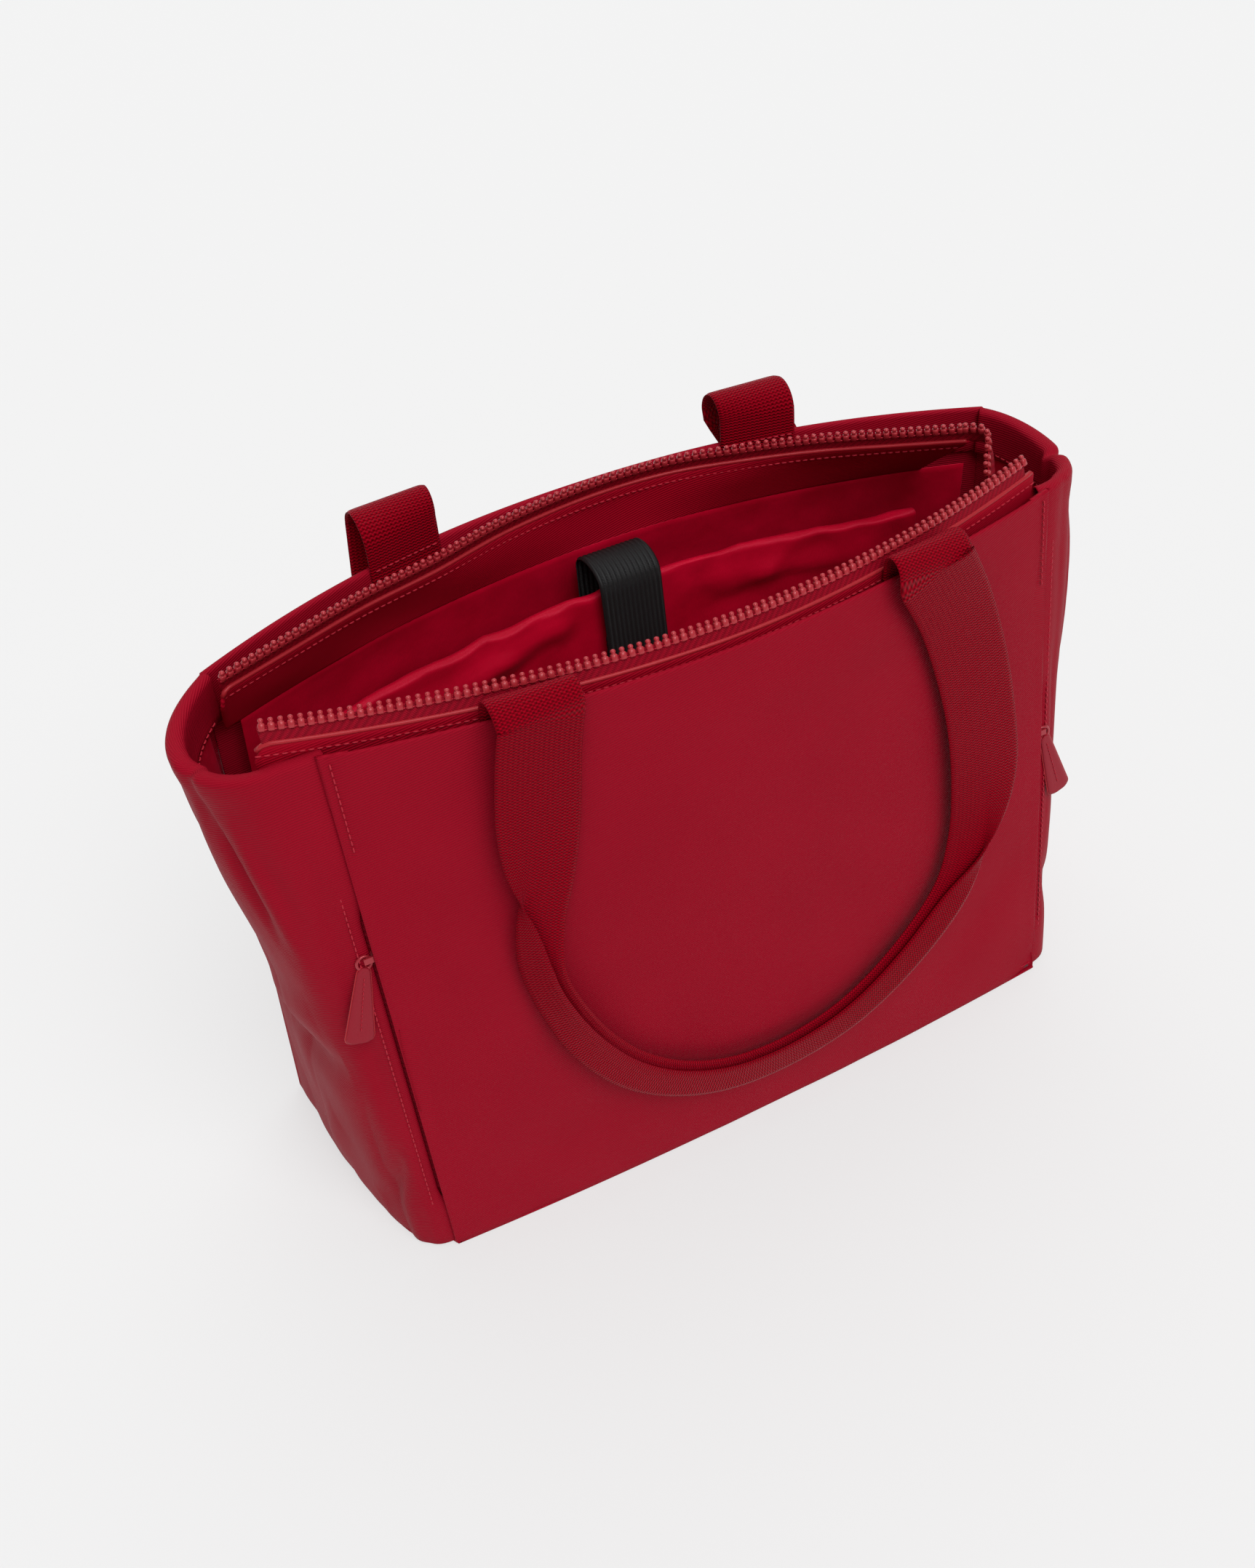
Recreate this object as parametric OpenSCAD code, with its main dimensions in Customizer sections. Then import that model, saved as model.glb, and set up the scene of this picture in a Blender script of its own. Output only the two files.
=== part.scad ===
// Zip-top tote bag with a padded sleeve inside, two webbing handles and side zips.
// Millimetres. +Z is up, -Y is the front, and the origin is under the middle of the base.

/* [Bag body] */
// Height of the front and back rims
body_h = 290; // [240:5:340]
// Half width of the front panel
front_half_w = 176; // [150:1:200]
// Half width of the back panel at its bottom edge
back_half_w = 212; // [190:1:230]
// How far the front rim bows out past its corners
front_bow = 26; // [10:1:35]
// How far the back rim bows out past its corners
back_bow = 50; // [30:1:60]
// Thickness of the coated outer fabric with its hem allowance
fabric_t = 1.6; // [1.2:0.1:2.2]
// Thickness of the satin lining
lining_t = 0.8; // [0.6:0.1:1.2]

/* [Laptop sleeve] */
// Height of the sleeve's front wall
sleeve_h = 256; // [200:1:265]
// Half width of the sleeve's front wall
sleeve_half_w = 150; // [120:1:160]
// Thickness of the foam in the sleeve's front wall
foam_t = 4.2; // [3:0.1:6]
// Width of the elastic strap that closes the sleeve
strap_w = 32; // [25:1:40]
// Length of the strap's front tab
strap_len = 64; // [50:1:80]

/* [Main zip] */
// Distance between two teeth on one side
tooth_pitch = 3.8; // [3.5:0.1:5]
// Width of the zip tape between facing and teeth
tape_w = 6; // [5:0.5:8]

/* [Handles] */
// Width of the webbing
webbing_w = 38; // [30:1:45]
// Thickness of the webbing
webbing_t = 1.6; // [1.2:0.1:2.4]
// Distance from the middle of the bag to each handle's seat
seat_x = 93; // [80:1:110]
// Width of the folded grip
grip_w = 21; // [18:1:26]

/* [Side zips] */
// Height of the left slider when stored
left_slider_z = 186; // [120:1:215]
// Height of the right slider when stored
right_slider_z = 156; // [120:1:215]
// Height of the zips' lower ends
side_zip_z0 = 60; // [45:1:80]
// Height of the zips' upper ends
side_zip_z1 = 236; // [225:1:250]

/* [Hidden] */
$fn = 32;

red = "#a0162b";
satin = "#b3122a";
crimson = "#8f1030";
zip_red = "#b5404c";
trim_red = "#c0525a";

slide_gap = 0.3;
layer_gap = 0.4;

// ---- small helpers
function lerp(a, b, t) = a + (b - a) * t;
function unit(v) = v / norm(v);
function power(x, p) = pow(abs(x), p);
function bezier(p, t) = pow(1 - t, 3) * p[0] + 3 * t * pow(1 - t, 2) * p[1]
    + 3 * t * t * (1 - t) * p[2] + pow(t, 3) * p[3];
function spline_part(a, b, c, d, t) = 0.5 * (2 * b + (c - a) * t
    + (2 * a - 5 * b + 4 * c - d) * t * t + (3 * b - a - 3 * c + d) * t * t * t);
function spline(p, u) = let (
    last = len(p) - 1,
    s = min(u, 0.99999) * last,
    i = floor(s)
  ) spline_part(p[max(i - 1, 0)], p[i], p[i + 1], p[min(i + 2, last)], s - i);

// A closed slab under the surface f(u, v): u runs along it and v runs up it, and
// the surface faces the side from which u to v turns anticlockwise.
function normal_at(f, u, v, e = 0.01) = unit(cross(
    f(min(u + e, 1), v) - f(max(u - e, 0), v),
    f(u, min(v + e, 1)) - f(u, max(v - e, 0))
  ));

module slab(f, nu, nv, t) {
  row = nv + 1;
  sheet = (nu + 1) * row;
  outer = [for (i = [0 : nu]) for (j = [0 : nv]) f(i / nu, j / nv)];
  inner = [for (i = [0 : nu]) for (j = [0 : nv])
    f(i / nu, j / nv) - t * normal_at(f, i / nu, j / nv)];
  faces = [
    for (i = [0 : nu - 1]) for (j = [0 : nv - 1]) let (a = i * row + j, b = a + row)
      each [[a, b + 1, b], [a, a + 1, b + 1],
        [sheet + a, sheet + b, sheet + b + 1], [sheet + a, sheet + b + 1, sheet + a + 1]],
    for (i = [0 : nu - 1]) let (a = i * row, b = a + row, c = a + nv, d = c + row)
      each [[a, b, sheet + b], [a, sheet + b, sheet + a],
        [c, sheet + d, d], [c, sheet + c, sheet + d]],
    for (j = [0 : nv - 1]) let (a = j, b = j + 1, c = nu * row + j, d = c + 1)
      each [[a, sheet + b, b], [a, sheet + a, sheet + b],
        [c, d, sheet + d], [c, sheet + d, sheet + c]]
  ];
  polyhedron(concat(outer, inner), faces);
}

// A flat band swept along points: each ring is [centre, across, half width, thickness].
module band(rings) {
  n = len(rings);
  points = [for (i = [0 : n - 1]) let (
      ring = rings[i],
      along = unit(rings[min(i + 1, n - 1)][0] - rings[max(i - 1, 0)][0]),
      up = unit(cross(ring[1], along)) * ring[3] / 2,
      side = ring[1] * ring[2]
    ) each [ring[0] - side - up, ring[0] + side - up, ring[0] + side + up, ring[0] - side + up]];
  faces = [
    [0, 1, 2, 3],
    for (i = [0 : n - 2]) for (k = [0 : 3]) let (a = 4 * i + k, b = 4 * i + (k + 1) % 4)
      each [[a, a + 4, b + 4], [a, b + 4, b]],
    [4 * n - 1, 4 * n - 2, 4 * n - 3, 4 * n - 4]
  ];
  polyhedron(points, faces);
}

// ---- plan curves of the shell; h is 0 at the floor and 1 at the rim
front_corner_top = -48;
front_corner_bottom = -79;
base_bow = 6;
back_corner_top = 35;
back_bottom = 62;
back_corner_drop = 4;
back_half_top = 200;

function front_y(x, h) = lerp(
    front_corner_bottom - base_bow * (1 - power(x / front_half_w, 2)),
    front_corner_top - front_bow * (1 - power(x / front_half_w, 1.8)), h);
function back_y(x, h) = lerp(
    back_bottom - back_corner_drop * power(x / back_half_w, 2),
    back_corner_top + back_bow * (1 - power(x / back_half_top, 2.2)), h);

side_start = front_half_w + 2;
gusset_top = [[side_start, -41], [218, -48], [228, 10], [back_half_top, back_corner_top]];
gusset_base = [[side_start, -72], [205, -78], [203, 0], [back_half_w, back_bottom - back_corner_drop]];
rim_dip = 4;
function gusset_plan(t, h) = lerp(bezier(gusset_base, t), bezier(gusset_top, t), h);
// side is -1 on the left and 1 on the right; t runs from front to back
function gusset(side, t, h, inset = 0) = let (p = gusset_plan(t, h), d = unit(gusset_plan(t + 0.01, h) - p))
  [side * (p[0] - inset * d[1]), p[1] + inset * d[0], h * (body_h - rim_dip * sin(180 * t))];

// ---- outer fabric
module back_panel() {
  half = function(h) lerp(back_half_w, back_half_top, h) - fabric_t;
  f = function(u, v) let (x = half(v) * (1 - 2 * u)) [x, back_y(x, v), v * body_h];
  color(red) slab(f, 26, 6, fabric_t);
}

module left_gusset() {
  f = function(u, v) gusset(-1, lerp(0.985, 0, u), v);
  color(red) slab(f, 14, 6, fabric_t);
}

module right_gusset() {
  f = function(u, v) gusset(1, lerp(0, 0.985, u), v);
  color(red) slab(f, 14, 6, fabric_t);
}

module front_panel() {
  f = function(u, v) let (x = front_half_w * (2 * u - 1)) [x, front_y(x, v), v * body_h];
  color(red) slab(f, 24, 6, fabric_t);
}

// The base is a flat plate inside the walls' bottom edges.
base_clear = 2.4;
function shell_outline() = [
  for (i = [0 : 12]) let (x = front_half_w * (i / 6 - 1)) [x, front_y(x, 0)],
  for (i = [0 : 8]) gusset_plan(i / 8, 0),
  for (i = [1 : 9]) let (x = back_half_w * (1 - i / 5)) [x, back_y(x, 0)],
  for (i = [0 : 8]) let (p = gusset_plan(1 - i / 8, 0)) [-p[0], p[1]]
];

module base_plate(inset, z0, t) {
  translate([0, 0, z0]) linear_extrude(t) offset(delta = -inset) polygon(shell_outline());
}

module base_panel() {
  color(red) base_plate(base_clear, 0, fabric_t);
}

pad_t = 3;
module base_pad() {
  color("#222222") base_plate(base_clear + 2, fabric_t, pad_t);
}

base_top = fabric_t + pad_t;
module base_lining() {
  color(satin) base_plate(base_clear + 1, base_top, lining_t);
}

// ---- zip facings that stand inside the rims
facing_z0 = body_h - 28;
facing_left = -197;
front_facing_right = 170;
back_facing_right = 168;
trim_r = 1.1;
seam_air = 0.15;

function front_facing_top(x) = body_h + (x < 0 ? 5 : 9) * power(x / 180, 2);
function front_facing_y(x) = front_corner_top - front_bow * (1 - power(x / front_half_w, 1.8))
    + 5.5 + 3 * power(x / 120, 2);
function front_facing_point(u, v) = let (x = lerp(facing_left, front_facing_right, u))
  [x, front_facing_y(x), lerp(facing_z0, front_facing_top(x), v)];

back_trim_route = [
  [-196, 18, 287], [-162, 30, 287], [-124, 43, 287], [-86, 52, 287], [-45, 63, 288], [0, 69, 288],
  [40, 67, 288], [76, 55, 289], [110, 40, 290], [145, 18, 292], [168, 2, 294]
];
function facing_foot(x) = 70 - 43 * power(x / 200, 2);
function back_facing_point(u, v) = let (
    top = spline(back_trim_route, u),
    foot = [top[0], facing_foot(top[0]), facing_z0]
  ) lerp(foot, top, v);

module front_facing() {
  f = function(u, v) front_facing_point(u, v);
  color(red) slab(f, 24, 2, fabric_t);
}

module back_facing() {
  f = function(u, v) back_facing_point(u, v);
  color(red) slab(f, 24, 3, fabric_t);
}

// The trim sits on a facing's top edge, square to it
module trim(f) {
  color(trim_red) band([for (i = [0 : 24]) let (
      u = i / 24,
      n = normal_at(f, u, 1),
      up = unit(f(u, 1) - f(u, 0.97))
    ) [f(u, 1) - n * fabric_t / 2 + up * (trim_r + seam_air), -n, trim_r, 2 * trim_r]]);
}

module front_trim() {
  trim(function(u, v) front_facing_point(u, v));
}

module back_trim() {
  trim(function(u, v) back_facing_point(u, v));
}

// ---- main zip: a tape with one row of teeth on each facing
front_lean = 25;
back_lean = -14;
tooth_h = 5;
tooth_d = 3;
tooth_w = 2;
tape_t = 0.8;
tape_lift = 2 * trim_r + 4 * seam_air;
front_chain_u = [0.012, 0.985];
back_chain_u = [0.006, 0.975];

// A place on the tape, a distance d above the trim
function tape_point(top, lean, u, d) = top(u) + [0, fabric_t / 2, tape_lift]
    + d * [0, sin(lean), cos(lean)];

module zip_tape(top, lean, ends) {
  f = function(u, v) tape_point(top, lean, lerp(ends[0], ends[1], u), tape_w * v) - [0, tape_t / 2, 0];
  color(crimson) slab(f, 24, 1, tape_t);
}

// Teeth stand on the tape's free edge, spaced by arc length.
module zip_teeth(top, lean, ends) {
  steps = 120;
  base = [for (i = [0 : steps]) tape_point(top, lean, lerp(ends[0], ends[1], i / steps), tape_w)];
  run = [for (i = 0, s = 0; i <= steps; i = i + 1,
    s = s + (i <= steps ? norm(base[i] - base[i - 1]) : 0)) s];
  count = floor(run[steps] / tooth_pitch);
  color(zip_red) for (k = [0 : count - 1]) {
    i = min(search_run(run, (k + 0.5) * tooth_pitch, 0), steps - 1);
    along = base[i + 1] - base[i];
    translate(base[i]) rotate([0, 0, atan2(along[1], along[0])]) rotate([-lean, 0, 0])
      translate([-tooth_w / 2, -tooth_d / 2, 0]) cube([tooth_w, tooth_d, tooth_h]);
  }
}
function search_run(run, s, i) = (i >= len(run) - 2 || run[i + 1] >= s) ? i : search_run(run, s, i + 1);

module front_zip_tape() {
  zip_tape(function(u) front_facing_point(u, 1), front_lean, front_chain_u);
}
module front_zip_teeth() {
  zip_teeth(function(u) front_facing_point(u, 1), front_lean, front_chain_u);
}
module back_zip_tape() {
  zip_tape(function(u) back_facing_point(u, 1), back_lean, back_chain_u);
}
module back_zip_teeth() {
  zip_teeth(function(u) back_facing_point(u, 1), back_lean, back_chain_u);
}

// The closed end: a tab below the right ends of both facings, with the slider parked on it
tab_x = 160;
tab_y = -33;
tab_z = 250;
tab_size = [10, 1.2, 34];
tab_coil_w = 3;
tab_coil_t = 0.8;
module zip_end_tab() {
  color(crimson) translate([tab_x, tab_y, tab_z]) translate([-tab_size[0] / 2, 0, 0]) cube(tab_size);
  color(zip_red) translate([tab_x - tab_coil_w / 2, tab_y + tab_size[1], tab_z + 1])
    cube([tab_coil_w, tab_coil_t, tab_size[2] - 2]);
}

// ---- lining
lining_top = facing_z0 - layer_gap;
pocket_gap = 2.2;
module front_pocket_wall() {
  half = front_half_w - 14;
  f = function(u, v) let (x = half * (2 * u - 1), h = lerp(0.02, 0.985, v))
    [x, front_y(x, h) + pocket_gap, h * body_h];
  color(red) slab(f, 20, 5, 1);
}

function front_lining_y(x, h) = front_y(x, h) + lerp(4.2, 5.9 + 3 * power(x / 120, 2), pow(h, 3));
module front_lining() {
  half = front_half_w - 16;
  f = function(u, v) let (x = half * (2 * u - 1), z = lerp(base_top + 1.2, lining_top, v))
    [x, front_lining_y(x, z / body_h), z];
  color(satin) slab(f, 20, 5, lining_t);
}

function back_lining_y(x, h) = lerp(back_y(x, h) - 3, facing_foot(x), pow(h * body_h / lining_top, 4));
module back_lining() {
  half = function(h) lerp(back_half_w, back_half_top, h) - 12;
  f = function(u, v) let (z = lerp(base_top + 1.2, lining_top, v), h = z / body_h, x = half(h) * (1 - 2 * u))
    [x, back_lining_y(x, h), z];
  color(satin) slab(f, 24, 6, lining_t);
}

side_inset = 4.5;
module side_lining(side) {
  t0 = 0.1;
  t1 = 0.9;
  f = function(u, v) let (h = lerp((base_top + 1.2) / body_h, 0.93, v))
    gusset(side, side < 0 ? lerp(t1, t0, u) : lerp(t0, t1, u), h, side_inset);
  color(satin) slab(f, 10, 5, lining_t);
}

module left_lining() {
  side_lining(-1);
}
module right_lining() {
  side_lining(1);
}

// ---- laptop sleeve: a foam wall between two satin sheets, bowed like the back
sleeve_front = 40;
sleeve_bow = 24;
sleeve_z0 = base_top + lining_t + 0.4;
sleeve_base_y = 30;
layer_air = 0.25;
function sleeve_y(x, v) = lerp(sleeve_base_y, sleeve_front, v) - sleeve_bow * v * power(x / sleeve_half_w, 2);
module sleeve_layer(offset_y, t, half, z1, nu) {
  f = function(u, v) let (x = half * (2 * u - 1))
    [x, sleeve_y(x, v) + offset_y, lerp(sleeve_z0, z1, v)];
  slab(f, nu, 4, t);
}

module sleeve_cover() {
  color(satin) sleeve_layer(0, lining_t, sleeve_half_w, sleeve_h, 14);
}
module sleeve_foam() {
  color("#333333") sleeve_layer(lining_t + layer_air, foam_t, sleeve_half_w - 3, sleeve_h - 2, 14);
}
module sleeve_backing() {
  color(satin) sleeve_layer(lining_t + foam_t + 3 * layer_air, lining_t, sleeve_half_w, sleeve_h, 14);
}

// ---- elastic strap over the sleeve: sewn to the back lining, its tab hangs in front of the sleeve
strap_t = 1.4;
strap_x = 2;
strap_axis = [strap_x, 45, 260];
strap_bend_r = 9.5;
patch_t = 1.2;
strap_root_y = 62;

module strap_piece(points, t = strap_t, w = strap_w) {
  color("#141414") band([for (p = points) [[strap_x, p[0], p[1]], [1, 0, 0], w / 2, t]]);
}

module sleeve_strap_anchor() {
  strap_piece([[strap_root_y, 232], [strap_root_y, 246], [strap_root_y, 259.4]]);
}

module sleeve_strap_bend() {
  a = strap_axis[1] - strap_bend_r;
  middle = (strap_root_y + a) / 2;
  span = (strap_root_y - a) / 2;
  strap_piece([for (i = [0 : 10]) [middle + span * cos(18 * i), 259.8 + 8 * sin(18 * i)]]);
}

module sleeve_strap() {
  y = strap_axis[1] - strap_bend_r;
  strap_piece([[y, 259.4], [y - 0.5, 245], [y - 1.5, 225], [y - 2, 259.4 - strap_len]]);
}

patch_h = 22;
module hook_patch() {
  z1 = 259.4 - strap_len + patch_h + 3;
  y = strap_axis[1] - strap_bend_r - 1.9 + strap_t / 2 + patch_t / 2 + layer_air;
  strap_piece([[y, z1 - patch_h], [y + 0.2, z1]], patch_t, strap_w - 6);
}

module loop_patch() {
  z1 = 259.4 - strap_len + patch_h + 3;
  f = function(u, v) let (x = strap_x + (strap_w / 2 - 2) * (2 * u - 1),
    z = lerp(z1 - patch_h - 6, z1 + 12, v),
    w = (z - sleeve_z0) / (sleeve_h - sleeve_z0)) [x, sleeve_y(x, w) - patch_t - layer_air, z];
  color("#101010") slab(f, 4, 4, patch_t - 0.05);
}

// ---- handles
front_axis = [-70, body_h + 2.5];
front_leg_r = 7;
back_axis = [82, body_h + 11];
back_leg_r = 9.3;
seat_depth = 26;
front_seat_gap = 3.6;
back_seat_gap = 2.2;

// Depth of the webbing's outer face where it is sewn behind each hem
function front_seat_y(x, z) = front_y(x, min(z / body_h, 1)) + front_seat_gap;
function back_seat_y(x, z) = back_y(x, min(z / body_h, 1)) - back_seat_gap;

// Two upright stubs of webbing that follow the hem, one at each seat
module front_handle_anchors() {
  z1 = front_axis[1] - slide_gap;
  color(crimson) for (side = [-1, 1]) {
    f = function(u, v) let (x = side * seat_x + webbing_w * (u - 0.5), z = lerp(body_h - seat_depth, z1, v))
      [x, front_seat_y(x, z), z];
    slab(f, 4, 4, webbing_t);
  }
}

module back_handle_anchors() {
  z1 = back_axis[1] - slide_gap;
  color(crimson) for (side = [-1, 1]) {
    f = function(u, v) let (x = side * seat_x - webbing_w * (u - 0.5), z = lerp(body_h - seat_depth, z1, v))
      [x, back_seat_y(x, z), z];
    slab(f, 4, 4, webbing_t);
  }
}

// An arch of webbing over the rim, from the curved seat to the straight leg
module seat_bend(side, axis, y_seat, y_leg, turn) {
  steps = 12;
  middle = (y_seat + y_leg) / 2;
  span = (y_seat - y_leg) / 2;
  band([for (i = [0 : steps]) let (a = 180 * i / steps, twist = side * turn * (1 - i / steps))
    [[side * seat_x, middle + span * cos(a), axis[1] + abs(span) * sin(a)],
      [cos(twist), sin(twist), 0], webbing_w / 2, webbing_t]]);
}

rim_turn = 9;
module front_handle_bends() {
  y_seat = front_seat_y(seat_x, body_h) + webbing_t / 2;
  color(crimson) for (side = [-1, 1])
    seat_bend(side, front_axis, y_seat, front_axis[0] - front_leg_r, rim_turn);
}

module back_handle_bends() {
  y_seat = back_seat_y(seat_x, body_h) - webbing_t / 2;
  color(crimson) for (side = [-1, 1])
    seat_bend(side, back_axis, y_seat, back_axis[0] + back_leg_r, -rim_turn);
}

// Handle route seen from the front: x, height, half width as a share of the webbing, thickness in layers
handle_route = [
  [-seat_x, 1.000, 1, 1], [-96, 0.93, 1, 1], [-100, 0.86, 0.94, 1], [-106, 0.76, 0.75, 1.4],
  [-109, 0.66, 0.5, 2], [-109, 0.57, 0.38, 2.4], [-103, 0.47, 0.45, 2.4], [-91, 0.37, 0.55, 2.4],
  [-72, 0.27, 0.55, 2.4], [-48, 0.20, 0.55, 2.4], [-20, 0.172, 0.55, 2.4], [10, 0.168, 0.55, 2.4],
  [42, 0.19, 0.55, 2.4], [72, 0.25, 0.6, 2.4], [96, 0.34, 0.7, 2], [111, 0.45, 0.85, 1.4],
  [116, 0.58, 0.96, 1], [113, 0.72, 1, 1], [107, 0.84, 1, 1], [100, 0.92, 1, 1], [seat_x, 1.000, 1, 1]
];

// y_at(x, z) is the depth at which the webbing hangs
module handle_loop(z_top, y_at) {
  steps = 48;
  point = function(u) let (r = spline(handle_route, u), z = r[1] * z_top) [r[0], y_at(r[0], z), z];
  color(crimson) band([for (i = [0 : steps]) let (
      u = i / steps,
      r = spline(handle_route, u),
      along = unit(point(min(u + 0.01, 1)) - point(max(u - 0.01, 0))),
      across = unit(cross(along, [0, 1, 0]))
    ) [point(u), i == 0 || i == steps ? [i == 0 ? 1 : -1, 0, 0] : -across,
      min(1, r[2]) * webbing_w / 2, r[3] * webbing_t]]);
}

hang_clear = 6;
module front_handle() {
  top = front_axis[0] - front_leg_r;
  y = function(x, z) let (h = z / body_h)
    lerp(front_y(x, min(h, 1)) - hang_clear, top, pow(min(1, h), 10));
  handle_loop(front_axis[1] - slide_gap, y);
}

module back_handle() {
  top = back_axis[0] + back_leg_r;
  y = function(x, z) let (h = z / body_h)
    lerp(back_y(x, min(h, 1)) + hang_clear, top, pow(min(1, z / back_axis[1]), 6));
  handle_loop(back_axis[1] - slide_gap, y);
}

// ---- side zips, in the recess behind the front panel's side edges
zip_recess = 7;
zip_x = front_half_w - 4;
zip_lean = atan((front_corner_top - front_corner_bottom) / body_h);
function zip_line(z) = [zip_x, lerp(front_corner_bottom, front_corner_top, z / body_h), z];

// Puts children at height z on a side's zip line: local x outwards, y inwards, z up the zip
module on_zip(side, z) {
  p = zip_line(z);
  translate([side * p[0], p[1], p[2]]) mirror([side < 0 ? 1 : 0, 0, 0]) rotate([-zip_lean, 0, 0]) children();
}

tape_half = 5.5;
tape_z0 = 7;
coil_r = 1.1;
side_zip_l = side_zip_z1 - side_zip_z0;
module side_tape(side) {
  color(crimson) on_zip(side, tape_z0) translate([-tape_half, zip_recess, 0])
    cube([2 * tape_half, tape_t, body_h - 15]);
}
module side_coil(side) {
  color(zip_red) on_zip(side, side_zip_z0) translate([0, zip_recess - coil_r - 0.05, 0])
    cylinder(r = coil_r, h = side_zip_l);
}
module side_stop(side) {
  color(zip_red) on_zip(side, side_zip_z0 - 4) translate([-2.5, zip_recess - 2.4, 0]) cube([5, 2.3, 3.7]);
}

// A slider that wraps the coil, with a post between two arms for the ring
slider_half = 3.6;
slider_l = 12;
post_at = [7.5, 4.2];
post_r = 0.8;
arm_t = 1;
ring_room = 2.6;
module slider_body(side, z) {
  color(zip_red) on_zip(side, z) difference() {
    union() {
      translate([-slider_half, 1.9, -slider_l / 2]) cube([2 * slider_half, 4.8, slider_l]);
      for (y = [post_at[1] - ring_room / 2 - arm_t, post_at[1] + ring_room / 2])
        translate([slider_half - 1, y, -1.5]) cube([post_at[0] + post_r - slider_half + 1, arm_t, 3]);
      translate([post_at[0], post_at[1] - ring_room / 2 - arm_t, 0]) rotate([-90, 0, 0])
        cylinder(r = post_r, h = ring_room + 2 * arm_t);
    }
    translate([0, zip_recess - coil_r - 0.05, -slider_l]) cylinder(r = coil_r + 0.4, h = 2 * slider_l);
    translate([-0.8, zip_recess - 1.4, -slider_l]) cube([1.6, 3, 2 * slider_l]);
  }
}

// The ring hangs on the post, and the leather puller is folded round the ring's lowest part
ring_r = 3.4;
ring_wire = 0.7;
ring_drop = ring_r - ring_wire - post_r - 0.1;
module slider_ring(side, z) {
  color(zip_red) on_zip(side, z) translate([post_at[0], post_at[1], 0]) rotate([0, puller_lean, 0])
    translate([0, 0, -ring_drop]) rotate([90, 0, 0]) rotate_extrude() translate([ring_r, 0]) circle(ring_wire, $fn = 16);
}

puller_len = 40;
puller_top_w = 6;
puller_low_w = 13;
puller_t = 2.2;
puller_lean = -16;
puller_round = 3;
eye_drop = 1.4;
module leather_shape() {
  hull() {
    translate([0, -puller_top_w / 2]) circle(puller_top_w / 2);
    for (k = [-1, 1]) translate([k * (puller_low_w / 2 - puller_round), puller_round - puller_len]) circle(puller_round);
  }
}
module puller_body(side, z) {
  color(red) on_zip(side, z) translate([post_at[0], post_at[1], 0]) rotate([0, puller_lean, 0])
    translate([0, puller_t / 2, -ring_drop - ring_r + eye_drop]) rotate([90, 0, 0])
      linear_extrude(puller_t) leather_shape();
}

module left_side_tape() {
  side_tape(-1);
}
module left_side_coil() {
  side_coil(-1);
}
module left_side_stop() {
  side_stop(-1);
}
module right_side_tape() {
  side_tape(1);
}
module right_side_coil() {
  side_coil(1);
}
module right_side_stop() {
  side_stop(1);
}
module left_slider() {
  slider_body(-1, left_slider_z);
}
module right_slider() {
  slider_body(1, right_slider_z);
}
module left_ring() {
  slider_ring(-1, left_slider_z);
}
module right_ring() {
  slider_ring(1, right_slider_z);
}
module left_puller() {
  puller_body(-1, left_slider_z);
}
module right_puller() {
  puller_body(1, right_slider_z);
}

// ---- main slider, parked on the end tab: it wraps the tab's edges and has its own ring and puller
main_slider_z = tab_z + 24;
main_slider_size = [13, 4.5, 12];
main_slider_back = 1.3;
main_post_y = main_slider_size[1] - main_slider_back + ring_r + ring_wire + slide_gap;
main_post_w = 5;
arm_h = 3;
module main_slider() {
  w = main_slider_size[0];
  h = main_slider_size[2];
  face = main_slider_size[1] - main_slider_back;
  color(zip_red) translate([tab_x, tab_y, main_slider_z]) difference() {
    union() {
      translate([-w / 2, -main_slider_back, -h / 2]) cube(main_slider_size);
      for (x = [-main_post_w / 2 - arm_t, main_post_w / 2])
        translate([x, face - 0.2, -arm_h / 2]) cube([arm_t, main_post_y - face + 1.2, arm_h]);
      translate([-main_post_w / 2 - 0.5, main_post_y, 0]) rotate([0, 90, 0]) cylinder(r = post_r, h = main_post_w + 1);
    }
    translate([-tab_size[0] / 2 - slide_gap, -slide_gap, -h])
      cube([tab_size[0] + 2 * slide_gap, tab_size[1] + 2 * slide_gap, 2 * h]);
    translate([-tab_coil_w / 2 - slide_gap, tab_size[1], -h])
      cube([tab_coil_w + 2 * slide_gap, tab_coil_t + slide_gap, 2 * h]);
  }
}

module main_ring() {
  color(zip_red) translate([tab_x, tab_y + main_post_y, main_slider_z - ring_drop]) rotate([0, 90, 0])
    rotate_extrude() translate([ring_r, 0]) circle(ring_wire, $fn = 16);
}

main_puller_scale = 0.8;
module main_puller() {
  color(red) translate([tab_x - puller_t / 2, tab_y + main_post_y, main_slider_z - ring_drop - ring_r + eye_drop])
    rotate([90, 0, 90]) linear_extrude(puller_t) scale(main_puller_scale) leather_shape();
}

back_panel();
left_gusset();
right_gusset();
base_panel();
base_pad();
base_lining();
back_facing();
back_trim();
back_zip_tape();
back_zip_teeth();
back_lining();
left_lining();
right_lining();
sleeve_cover();
sleeve_foam();
sleeve_backing();
sleeve_strap_anchor();
sleeve_strap_bend();
loop_patch();
back_handle_anchors();
front_panel();
front_pocket_wall();
front_lining();
front_facing();
front_trim();
front_zip_tape();
front_zip_teeth();
zip_end_tab();
front_handle_anchors();
left_side_tape();
left_side_coil();
left_side_stop();
right_side_tape();
right_side_coil();
right_side_stop();
front_handle();
front_handle_bends();
back_handle();
back_handle_bends();
sleeve_strap();
hook_patch();
main_slider();
main_ring();
main_puller();
left_slider();
left_ring();
left_puller();
right_slider();
right_ring();
right_puller();
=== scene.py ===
import math

import bpy
import numpy as np
from mathutils import Matrix, Vector, noise


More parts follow.
